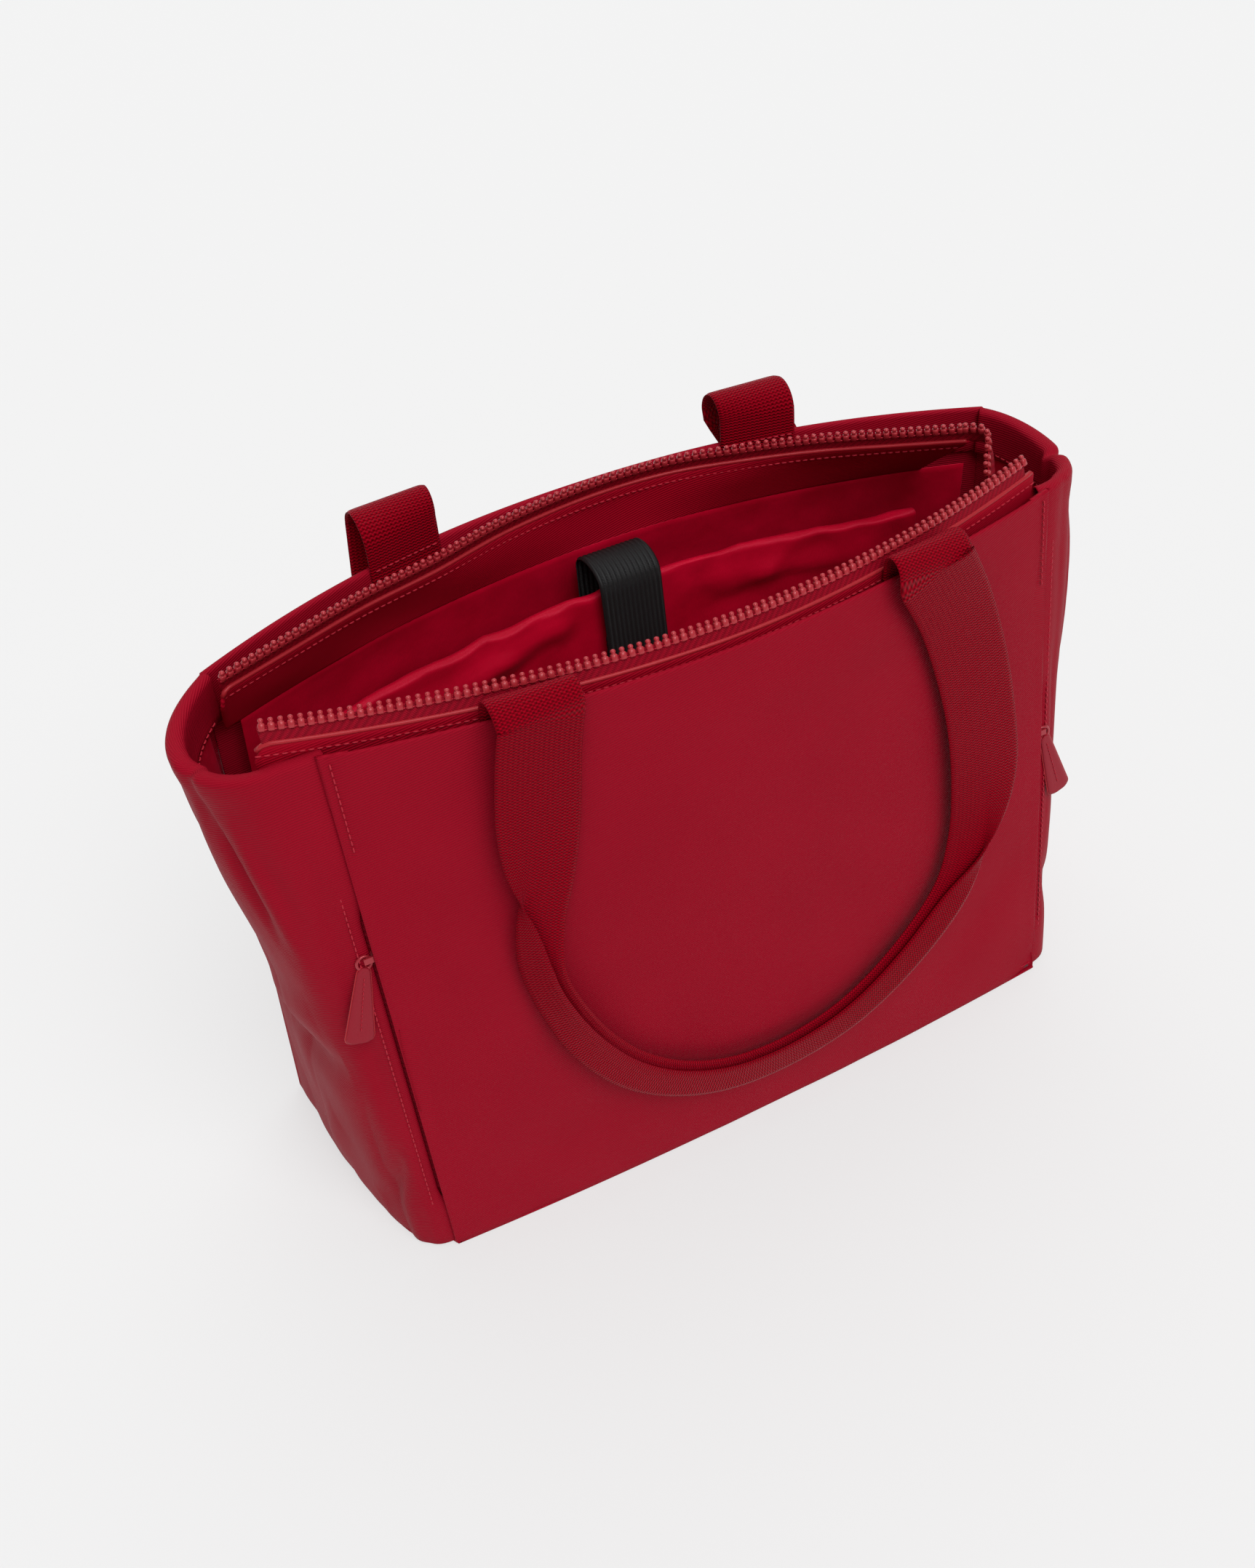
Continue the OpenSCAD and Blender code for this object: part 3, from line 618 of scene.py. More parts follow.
# ---------------------------------------------------------------- outer shell
def front_panel():
    xs, fold_x = side_folds(FRONT_HALF, HEM_R, 12, 60)
    zs, fold_z = over_fold(1.2, BODY_H, HEM_R, HEM_DEPTH, 90)
    x, z = np.meshgrid(xs, zs, indexing="ij")
    fold = np.maximum(fold_x[:, None], fold_z[None, :])
    h = z / BODY_H
    grid = xyz(x, front_y(np.clip(x, -FRONT_HALF, FRONT_HALF), h) + fold, z)
    face = smooth((1.0 - fold) / 0.6)
    soft = 1.5 * cloud(xyz(x, 0 * x, z), (90, 1, 140), 3) * smooth((BODY_H - z) / 60)
    soft += creases(x, z, (
        (0.8, (-60, 262), (120, 268), 14), (-0.9, (-150, 30), (-60, 60), 16),
        (-1.2, (95, 20), (165, 95), 15), (0.8, (-172, 205), (-150, 60), 9),
    ))
    corner = smooth(1 - z / 22) * smooth((np.abs(x) - 150) / 26)
    grid[..., 1] += corner * 0.6
    groove = np.exp(-((np.abs(x) - (FRONT_HALF - SEAM_FROM_EDGE)) ** 2)) * smooth((z - (BODY_H - 50)) / 4)
    edge_press = -0.55 * groove - 0.25 * smooth((np.abs(x) - 163) / 6)
    piece = cloth("front_panel_shell", grid, CLOTH_T, TWILL, (soft + edge_press) * face)
    on_front(piece, "front_panel")
    lines = []
    for side in (-1, 1):
        z = np.linspace(BODY_H - SEAM_LENGTH, BODY_H - 3, 20)
        x = np.full_like(z, side * (FRONT_HALF - SEAM_FROM_EDGE))
        lines.append(xyz(x, front_y(x, z / BODY_H), z))
    on_front(stitches("front_side_topstitch", lines, towards(0.0, -1.0, 0.1), lift=0.1))


def back_panel():
    zs, fold = over_fold(1.2, BODY_H, 2.0, HEM_DEPTH, 70, 9)
    u = np.linspace(1, -1, 110)
    half = lerp(BACK_HALF_LOW, BACK_HALF_TOP, zs / BODY_H) - 0.3
    x = u[:, None] * half[None, :]
    h = (zs / BODY_H)[None, :]
    grid = xyz(x, back_y(x, h) - fold[None, :], np.broadcast_to(zs, x.shape))
    z = grid[..., 2]
    face = smooth((1.0 - fold) / 0.6)[None, :]
    soft = 2.0 * cloud(xyz(x, 0 * x, z), (80, 1, 130), 8) * smooth((BODY_H - z) / 50)
    soft -= 1.6 * ridges(xyz(x, 0 * x, z), (95, 1, 60), 12) * smooth((150 - z) / 100)
    piece = cloth("back_panel_shell", grid, CLOTH_T, TWILL, soft * face)
    on_body(piece, "body", "back_panel")
    x = np.linspace(-190, 190, 120)
    h = np.full_like(x, (BODY_H - HEM_ROW) / BODY_H)
    row = xyz(x, back_y(x, h), h * BODY_H)
    on_body(stitches("back_hem_stitch", [row], towards(0.0, 1.0, 0.1), lift=0.4), "body")


def gusset_relief(side, t, z):
    """Soft dents and creases of a side wall; t runs front to back."""
    s = t * GUSSET_ROUND
    place = xyz(s, 0 * t, z)
    low = smooth((BODY_H - z) / 45) * smooth(t / 0.12) * smooth((1 - t) / 0.06)
    out = 2.0 * cloud(place, (75, 1, 110), 20 + side)
    out -= 1.0 * ridges(place, (95, 1, 120), 31 + side)
    out += creases(s, z, (
        (-4.0, (120, 289), (95, 205), 7), (2.2, (92, 280), (70, 190), 9), (-4.6, (70, 120), (215, 96), 12),
        (2.4, (90, 150), (200, 128), 12), (-3.4, (30, 62), (110, 8), 10), (-2.6, (160, 235), (225, 120), 10),
        (2.6, (140, 60), (180, 10), 14),
    ))
    return out * low


def side_gusset(side):
    name = "left" if side < 0 else "right"
    zs, fold = over_fold(1.0, BODY_H, RIM_R, HEM_DEPTH, 64, 11, 6)
    t = np.concatenate([[0, 0.008, 0.017, 0.027], np.linspace(0.04, 0.998, 72)])
    if side < 0:
        t = t[::-1]
    tt, zz = np.meshgrid(t, zs, indexing="ij")
    dip = RIM_DIP * np.sin(np.pi * tt) * (zz / BODY_H)
    pinch = 2.6 * np.exp(-(((tt - 0.47) / 0.035) ** 2)) * smooth((zz - 225) / 60)
    bulge = 1.2 * smooth((zz - 272) / 12) * np.sin(np.pi * tt) * np.cos(fold / RIM_R * 1.2)[None, :]
    plan = gusset_plan(tt, zz / BODY_H, fold[None, :] + pinch - bulge, side)
    parked = LEFT_SLIDER_Z if side < 0 else RIGHT_SLIDER_Z
    shut = np.maximum(smooth((zz - parked - 16) / 22), smooth((36 - zz) / 14))
    near = smooth((0.13 - tt) / 0.13)
    plan[..., 0] -= near**3 * lerp(1.2, 5.5, shut)
    plan[..., 1] -= near * lerp(2.2, 4.2, shut)
    grid = xyz(side * plan[..., 0], plan[..., 1], zz - dip - pinch * 0.8)
    face = smooth((1.2 - fold) / 1.2)[None, :]
    relief = gusset_relief(side, tt, zz) * face
    piece = cloth(f"{name}_gusset_shell", grid, CLOTH_T, TWILL, relief)
    across_collapse(piece, f"{name}_gusset")
    z = np.linspace(8, BODY_H - 30, 110)
    seam = gusset_plan(np.full_like(z, 0.036), z / BODY_H, 0.0, side)
    row = xyz(side * seam[:, 0], seam[:, 1] - 2.0, z)
    across_collapse(stitches(f"{name}_gusset_zip_stitch", [row], towards(side * 0.35, -1.0, 0.0), lift=0.35))
    t = np.linspace(0.06, 0.93, 60)
    hem = gusset_plan(t, np.full_like(t, 0.925), np.full_like(t, 2 * RIM_R + 0.7), side)
    row = xyz(side * hem[:, 0], hem[:, 1], 269 - RIM_DIP * np.sin(np.pi * t))
    across_collapse(stitches(f"{name}_rim_stitch", [row], lambda p: unit(-p * [1, 1, 0]), lift=0.3))


def outline():
    """The footprint, anticlockwise from the front left corner."""
    x = np.linspace(-FRONT_HALF, FRONT_HALF, 40)
    side = gusset_plan(np.linspace(0.02, 1, 24), np.zeros(24))
    back = np.linspace(BACK_HALF_LOW, -BACK_HALF_LOW, 50)[1:-1]
    left = side[::-1] * [-1, 1]
    return np.concatenate([xyz(x, front_y(x, 0), 0)[:, :2], side, xyz(back, back_y(back, 0), 0)[:, :2], left])


def footprint_sheet(name, inset, z, thick, look, relief):
    """A flat sheet cut to the footprint, as rings from the middle outwards."""
    rim = outline()
    centre = rim.mean(axis=0)
    reach = np.linalg.norm(rim - centre, axis=1)[:, None]
    rim = centre + (rim - centre) * (reach - inset) / reach
    rim = np.concatenate([rim, rim[:1]])
    share = np.linspace(0.02, 1, 26)
    flat = centre + (rim[:, None] - centre) * share[None, :, None]
    grid = xyz(flat[..., 0], flat[..., 1], z + thick + relief(flat))
    return cloth(name, grid[::-1], thick, look)


def base():
    def still(p):
        return 0 * p[..., 0]

    def wavy(p):
        return 0.9 * np.abs(cloud(xyz(p[..., 0], p[..., 1], 0), 45, 5))

    rim = outline()
    shell = footprint_sheet("base_shell", 1.4, 0.0, 1.3, TWILL, still)
    across_collapse(shell, "base_panel")
    board = footprint_sheet("base_board", 5.0, 1.5, 2.8, FOAM, still)
    across_collapse(board, "base_pad")
    lining = footprint_sheet("base_lining_satin", 3.6, BASE_TOP, LINING_T, SATIN, wavy)
    across_collapse(lining, "base_lining")


# ---------------------------------------------------------------- top closure
def corner_drop(u):
    """How far a facing's top edge turns down at its left corner."""
    short = 1 - np.clip(u / 0.022, 0, 1)
    return 7.0 * (1 - np.sqrt(np.clip(1 - short**2, 0, 1)))


def facings():
    u = np.linspace(0, 1, 120)
    uu, vv = np.meshgrid(u, np.linspace(0, 1, 18), indexing="ij")
    for name, at, swell, faces_y, row_y, move in (
        ("front", front_facing_at, 0.7, -1.0, 0.0, on_front),
        ("back", back_facing_at, -0.9, 1.0, 1.8, across_collapse),
    ):
        grid = at(uu, vv)
        grid[..., 2] -= corner_drop(uu) * vv
        relief = 0.6 * cloud(grid, (60, 60, 30), 41) * np.sin(np.pi * vv) * swell
        if name == "back":
            relief += 0.9 * np.sin(uu * 21) * np.sin(np.pi * vv) * smooth((0.95 - uu) / 0.1)
        piece = cloth(f"{name}_facing_shell", grid, 1.7, FACING, relief)
        move(piece, f"{name}_facing")
        if name == "back":
            row = at(u, np.full_like(u, 0.86)) + [0, -0.1, 0]
            move(stitches("back_facing_stitch", [row], towards(0.0, -1.0, 0.2), lift=0.25))
        row = at(u, np.full_like(u, 0.87)) + [0, row_y, 0]
        move(stitches(f"{name}_edge_stitch", [row], towards(0.0, faces_y, 0.25), lift=0.2))
        edge_trim(name, at, move)


def round_rings(line, one, two, wide, high, count):
    """Oval rings of count points along a line, in the plane of the directions one and two."""
    angle = np.arange(count) * 2 * math.pi / count
    return line[:, None] + (one[:, None] * (np.cos(angle) * wide)[None, :, None]
                            + two[:, None] * (np.sin(angle) * high)[None, :, None])


def edge_trim(name, at, move):
    u = np.linspace(0.004, 0.996, 130)
    line = at(u, np.ones_like(u))
    line[:, 2] -= corner_drop(u)
    along = unit(np.gradient(line, axis=0))
    across = unit(np.cross(along, [0.0, 0.0, 1.0]))
    up = np.cross(across, along)
    wobble = 1 + 0.05 * np.sin(u * 90)[:, None]
    centre = line + [0, 0.85, TRIM_R * 0.85]
    rings = round_rings(centre, wobble * across, wobble * up, TRIM_R + 0.12, TRIM_R * 0.95, 12)
    move(sweep(f"{name}_edge_trim", rings, EDGE), f"{name}_trim")


def tape_at(at, lean, u, d):
    direction = np.array([0.0, math.sin(lean), math.cos(lean)])
    return at(u, np.ones_like(u)) + np.array([0, 0.8, 2 * TRIM_R]) + np.asarray(d)[..., None] * direction


def tooth_shape():
    """One moulded tooth: a block that grips the tape, a waist and a round head."""
    verts = []
    rows = ((-2.2, 1.2, 1.2), (-1.8, 1.4, 1.5), (0.5, 1.4, 1.5), (0.85, 1.15, 1.3), (1.1, 0.85, 1.0),
            (1.4, 0.95, 1.05), (1.9, 1.16, 1.2), (2.4, 1.1, 1.1), (2.8, 0.72, 0.7), (2.95, 0.28, 0.3))
    for z, wide, deep in rows:
        power = 0.45 if z < 1 else 0.85
        for k in range(8):
            a = math.pi / 8 + k * math.pi / 4
            c, s = math.cos(a), math.sin(a)
            across = wide * math.copysign(abs(c) ** power, c)
            verts.append([across, deep * math.copysign(abs(s) ** power, s), z])
    return np.array(verts), tube_faces(len(rows), 8)


def main_zip():
    template, faces = tooth_shape()
    for name, at, lean, first, last, move in (
        ("front", front_facing_at, FRONT_LEAN, 0.012, 0.985, on_front),
        ("back", back_facing_at, BACK_LEAN, 0.006, 0.975, across_collapse),
    ):
        u = np.linspace(first, last, 140)
        uu, vv = np.meshgrid(u, np.linspace(-1.6, TAPE_W, 6), indexing="ij")
        grid = tape_at(at, lean, uu, vv)
        tape = cloth(f"{name}_zip_tape_woven", grid, 0.6, TAPE)
        move(tape, f"{name}_zip_tape")
        path, along = even(tape_at(at, lean, u, np.full_like(u, TAPE_W + 0.2)), TOOTH_PITCH)
        up = np.array([0.0, math.sin(lean), math.cos(lean)])
        thick_way = unit(np.cross(up, along))
        out = np.cross(along, thick_way)
        places = [(p, np.stack([t, s, n], -1)) for p, t, s, n in zip(path, along, thick_way, out)]
        move(copies(f"{name}_zip_teeth_row", template, faces, places, TEETH), f"{name}_zip_teeth")
        middle = tape_at(at, lean, u, np.full_like(u, TAPE_W / 2))
        aside = np.cross(unit(np.gradient(middle, axis=0)), up)
        cords = [tape_at(at, lean, u, np.full_like(u, TAPE_W - 1.4)) + gap * aside for gap in (0.85, -0.95)]
        facing = towards(0.0, -math.cos(lean), math.sin(lean))
        move(stitches(f"{name}_zip_cord", cords, facing, "zip_tape", 0, ZIP_CORD))


def zip_bend():
    """The back row's free end, curving down to the joined end behind the front row."""
    template, faces = tooth_shape()
    start = tape_at(back_facing_at, BACK_LEAN, np.array([0.955, 0.975]), np.zeros(2))
    goal = box_middle("main_slider") + [3.5, 4.5, 9.0]
    t = np.linspace(0, 1, 60)[:, None]
    near, far = start[1] + unit(start[1] - start[0]) * 20, goal + [7.0, 16.0, 15.0]
    path = start[1] * (1 - t) ** 3 + 3 * near * t * (1 - t) ** 2 + 3 * far * t * t * (1 - t) + goal * t**3
    along = unit(np.gradient(path, axis=0))
    lean_up = np.array([0.0, math.sin(BACK_LEAN), math.cos(BACK_LEAN)])
    up = lerp(lean_up, np.array([-0.75, -0.2, 0.65]), smooth(t))
    up = unit(up - np.sum(up * along, axis=1, keepdims=True) * along)
    grid = path[:, None] + np.linspace(-1.6, TAPE_W, 6)[None, :, None] * up[:, None]
    across_collapse(cloth("zip_bend_tape_woven", grid, 0.6, TAPE))
    run = run_length(path)
    place = np.interp(np.arange(TOOTH_PITCH, run[-1] - 2, TOOTH_PITCH), run, np.arange(len(path)))
    places = []
    for i in np.round(place).astype(int):
        across = unit(np.cross(up[i], along[i]))
        places.append((path[i] + (TAPE_W + 0.2) * up[i], np.stack([along[i], across, up[i]], -1)))
    across_collapse(copies("zip_bend_teeth_row", template, faces, places, TEETH))


# ---------------------------------------------------------------- lining and sleeve
def inner_wrinkles(grid, seed, depth, size=(60, 1, 90), sharp=1.0):
    """Soft pulled folds of a thin satin lining."""
    out = depth * cloud(grid, (size[0], 200, size[2]), seed, 3)
    return out + sharp * ridges(grid, (size[0] * 1.1, 300, size[2] * 0.6), seed + 3)


def front_inside():
    half = FRONT_HALF - 16
    x, v = np.meshgrid(np.linspace(half, -half, 90), np.linspace(0, 1, 60), indexing="ij")
    z = lerp(BASE_TOP + 1.2, LINING_TOP, v)
    h = z / BODY_H
    y = front_y(x, h) + lerp(4.2, 5.9 + FACING_DRIFT * (x / 120) ** 2, h**3) + LINING_T + 0.3
    grid = xyz(x, y, z)
    edge = smooth((half - np.abs(x)) / 20) * np.sin(np.pi * v) ** 0.5
    relief = inner_wrinkles(grid, 60, 1.6) * edge
    lining = cloth("front_lining_satin", grid, LINING_T, SATIN, relief)
    on_front(lining, "front_lining")
    half = FRONT_HALF - 14
    x, v = np.meshgrid(np.linspace(-half, half, 60), np.linspace(0, 1, 40), indexing="ij")
    h = lerp(0.02, 0.985, v)
    grid = xyz(x, front_y(x, h) + 2.2, h * BODY_H)
    wall = cloth("front_pocket_wall_cloth", grid, 0.7, FACING)
    on_front(wall, "front_pocket_wall")


def back_inside():
    u, v = np.meshgrid(np.linspace(-1, 1, 120), np.linspace(0, 1, 80), indexing="ij")
    z = lerp(BASE_TOP + 1.2, LINING_TOP + 1.0, v)
    h = z / BODY_H
    x = (lerp(BACK_HALF_LOW, BACK_HALF_TOP, h) - 12) * u
    y = lerp(back_y(x, h) - 3, 70 - 43 * (x / 200) ** 2, (z / LINING_TOP) ** 4)
    grid = xyz(x, y, z)
    edge = smooth((1 - np.abs(u)) / 0.1) * np.sin(np.pi * np.clip(v, 0, 1)) ** 0.5
    gathers = 2.2 * cloud(xyz(x, 0, z), (42, 1, 26), 73) * smooth((z - 200) / 40)
    relief = (inner_wrinkles(grid, 70, 1.8) + gathers) * edge
    lining = cloth("back_lining_satin", grid, LINING_T, SATIN, relief)
    on_body(lining, "body", "back_lining")


def side_inside(side):
    name = "left" if side < 0 else "right"
    t = np.linspace(0.1, 0.9, 60)
    if side > 0:
        t = t[::-1]
    tt, h = np.meshgrid(t, np.linspace((BASE_TOP + 1.2) / BODY_H, 0.935, 80), indexing="ij")
    z = h * (BODY_H - RIM_DIP * np.sin(np.pi * tt))
    plan = gusset_plan(tt, h, np.full_like(tt, 5.2), side)
    grid = xyz(side * plan[..., 0], plan[..., 1], z)
    edge = smooth((tt - 0.1) / 0.12) * smooth((0.9 - tt) / 0.12) * smooth((0.93 - h) / 0.08)
    relief = 3.2 * cloud(xyz(tt * 200, 0, z), (42, 1, 75), 80 + side, 3)
    relief += 3.0 * ridges(xyz(tt * 200, 0, z), (48, 1, 90), 85 + side) + 1.2
    lining = cloth(f"{name}_lining_satin", grid, LINING_T, SATIN, relief * edge)
    across_collapse(lining, f"{name}_lining")


def sleeve_y(x, v):
    return lerp(30, 40, v) - 24 * v * (x / SLEEVE_HALF) ** 2


def sleeve():
    """Foam between a satin cover that rolls over its top edge and a satin backing."""
    roll = 3.0
    up, inwards = over_fold(SLEEVE_Z0, SLEEVE_TOP + 0.6, roll, 12, 80, 13, 5)
    x, z = np.meshgrid(np.linspace(SLEEVE_HALF, -SLEEVE_HALF, 130)[::-1], up, indexing="ij")
    v = np.clip((z - SLEEVE_Z0) / (SLEEVE_TOP - SLEEVE_Z0), 0, 1)
    fold = np.broadcast_to(inwards, x.shape)
    sag = 4.2 * smooth((v - 0.7) / 0.3) * (0.5 * np.sin(x / 23) + cloud(xyz(x, 0, 0 * z), (34, 1, 1), 92))
    grid = xyz(x, sleeve_y(x, v) + fold, z - np.abs(sag) * 0.8)
    edge = smooth((SLEEVE_HALF - np.abs(x)) / 10) * smooth((1.5 - fold) / 1.5)
    relief = inner_wrinkles(grid, 95, 1.4, (70, 1, 60), 1.5)
    relief += creases(x, z, (
        (3.2, (-130, 234), (-20, 247), 7), (2.8, (10, 246), (125, 236), 7),
        (-2.2, (-140, 222), (-30, 236), 6), (-2.0, (30, 235), (140, 224), 6),
    ))
    relief += 2.6 * cloud(xyz(x, 0, z), (20, 1, 60), 99) * crease(x, z, (-148, 240), (148, 240), 34)
    near_strap = smooth((np.abs(x - STRAP_X) - 22) / 14)
    relief = np.maximum(relief * near_strap - 0.2, -1.0) * edge
    cover = cloth("sleeve_cover_satin", grid, LINING_T, SATIN, relief)
    on_body(cover, "body", "sleeve_cover")
    reach = SLEEVE_HALF - 3
    x, v = np.meshgrid(np.linspace(-reach, reach, 40), np.linspace(0, 0.985, 30), indexing="ij")
    z = lerp(SLEEVE_Z0, SLEEVE_TOP - 2, v)
    pad = cloth("sleeve_pad", xyz(x, sleeve_y(x, v) + 2.6, z), 2.2, FOAM)
    on_body(pad, "body", "sleeve_foam")
    x, v = np.meshgrid(np.linspace(SLEEVE_HALF, -SLEEVE_HALF, 60), np.linspace(0, 0.975, 40), indexing="ij")
    grid = xyz(x, sleeve_y(x, v) + 6.0, lerp(SLEEVE_Z0, SLEEVE_TOP, v))
    backing = cloth("sleeve_backing_satin", grid, LINING_T, SATIN)
    on_body(backing, "body", "sleeve_backing")


# ---------------------------------------------------------------- bands
def lay_weave(piece, across, path):
    """Lays a band's weave along path, across holding each ring point's place. Gives the length in metres."""
    run = run_length(path) * MM
    rows, count = len(path), len(across)
    weave = np.stack([np.tile(across * MM, rows), np.repeat(run, count), np.zeros(rows * count)], -1)
    piece.data.attributes["weave"].data.foreach_set("vector", weave.astype(np.float32).ravel())
    return float(run[-1])


def webbing_band(name, path, across, section):
    """Webbing with rounded edges along path; section(i, s) gives (across, out) for places s across it."""
    along = unit(np.gradient(path, axis=0))
    out = unit(np.cross(along, across))
    across = unit(np.cross(out, along))
    s = np.linspace(-1, 1, 25)
    edge = WEBBING_T / 2 * np.sqrt(np.clip(1 - np.abs(s) ** 14, 0.02, 1))[:, None]
    rings = []
    for i in range(len(path)):
        a, n = section(i, s * WEBBING_W / 2)
        slope = unit(np.stack([np.gradient(a), np.gradient(n)], -1))
        face = np.stack([-slope[:, 1], slope[:, 0]], -1)
        line = np.stack([a, n], -1)
        both = np.concatenate([line + face * edge, (line - face * edge)[::-1]])
        rings.append(path[i] + both[:, :1] * across[i] + both[:, 1:] * out[i])
    piece = sweep(name, np.array(rings), WEBBING)
    return piece, lay_weave(piece, np.concatenate([s, s[::-1]]) * WEBBING_W / 2, path)


def strap():
    axis_y, bend = 45.0, 9.5
    tab_y, root_y, top = axis_y - bend, 62.0, 259.6
    middle, span = (root_y + tab_y) / 2, (root_y - tab_y) / 2
    a = np.linspace(0, math.pi, 26)
    arch = xyz(STRAP_X, middle + span * np.cos(a), top + 8.4 * np.sin(a))
    root = xyz(STRAP_X, root_y, np.linspace(232, top - 0.6, 12))
    z = np.linspace(top - 0.6, 196, 34)
    drop = (top - z) / 64
    tab = xyz(STRAP_X + 1.5 * drop**2, tab_y - 0.3 - 1.7 * drop - 1.4 * np.sin(np.pi * drop) * 0.6, z)
    piece, length = ribbed_band("sleeve_strap_elastic", np.concatenate([root, arch, tab]))
    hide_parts("sleeve_strap_anchor", "sleeve_strap_bend", "sleeve_strap")
    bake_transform(piece)
    fuzzy_patch("hook_patch", "sleeve_strap", 1)
    fuzzy_patch("loop_patch", "body", 2)


def ribbed_band(name, path):
    """Elastic that lies square to the bag, with ribs along it."""
    across = np.array([1.0, 0.0, 0.0])
    out = unit(np.cross(unit(np.gradient(path, axis=0)), across))
    s = np.linspace(-1, 1, 105)
    profile = 0.26 * np.cos(s * math.pi * STRAP_RIBS)
    edge = STRAP_T / 2 * np.sqrt(np.clip(1 - np.abs(s) ** 20, 0.02, 1))
    a = np.concatenate([s, s[::-1]]) * STRAP_W / 2
    n = np.concatenate([edge + profile, (profile - edge)[::-1]])
    rings = path[:, None] + a[None, :, None] * across + n[None, :, None] * out[:, None]
    piece = sweep(name, rings, ELASTIC)
    return piece, lay_weave(piece, a, path)


def fuzzy_patch(node, body, seed):
    """Hook or loop pile where the CAD has its patch."""
    lo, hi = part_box(node)
    lo, hi = np.array(lo) / MM, np.array(hi) / MM
    xs = np.linspace(lo[0] + 0.3, hi[0] - 0.3, 70)
    zs = np.linspace(lo[2] + 0.3, hi[2] - 0.3, 60)
    x, z = np.meshgrid(xs, zs, indexing="ij")
    grid = xyz(x, lo[1] + 0.5, z)
    pile = 0.25 * cloud(grid, (1.6, 1, 1.6), seed)
    on_body(cloth(f"{node}_pile", grid, hi[1] - lo[1] - 0.6, PILE, pile), body, node)


# ---------------------------------------------------------------- handles
# Each handle's line from seat to seat, as x, height as a share of the top, share folded, turn in degrees
HANDLE_LINE = [
    (-93, 1.000, 0.00, 0), (-95.5, 0.945, 0.00, 0), (-98, 0.880, 0.00, 2), (-101, 0.810, 0.04, 4),
    (-105, 0.735, 0.25, 10), (-109, 0.650, 0.75, 22), (-110, 0.560, 1.0, 40), (-104, 0.470, 1.0, 30),
    (-93, 0.375, 1.0, 10), (-76, 0.285, 1.0, 0), (-53, 0.215, 1.0, 0), (-24, 0.170, 1.0, 0),
    (10, 0.160, 1.0, 0), (45, 0.185, 1.0, -4), (77, 0.252, 1.0, -8), (106, 0.352, 0.92, -12),
    (121, 0.455, 0.40, -10), (126, 0.560, 0.04, -4), (124, 0.680, 0.00, 0), (118, 0.790, 0.00, 0),
    (107, 0.905, 0.00, 0), (93, 1.000, 0.00, 0),
]

# Where each handle's bend over the rim starts and ends; it tips down outwards, so the loop is past its end
HANDLE_BLEND = {
    "front": ((0.0, -68.4, 292.5), (0.0, -74.2, 291.9)),
    "back": ((0.0, 78.2, 301.0), (0.0, 87.2, 299.6)),
}


def folded_section(s, share):
    """Across and out places of webbing folded back on itself by share, edges towards the loop's inside."""
    radius, rise, half = 1.35, 2.0, WEBBING_W / 2
    bent = np.clip(s / radius, 0, math.pi)
    over = np.clip(s - math.pi * radius, 0, None)
    fold_a = np.where(s < 0, s, radius * np.sin(bent)) - over + half / 2
    fold_n = np.where(s < 0, 0, -radius * (1 - np.cos(bent))) + radius
    bow = -rise * math.sin(math.pi * share) * smooth(s / half)
    return lerp(s, fold_a, share), lerp(0 * s, fold_n, share) + bow


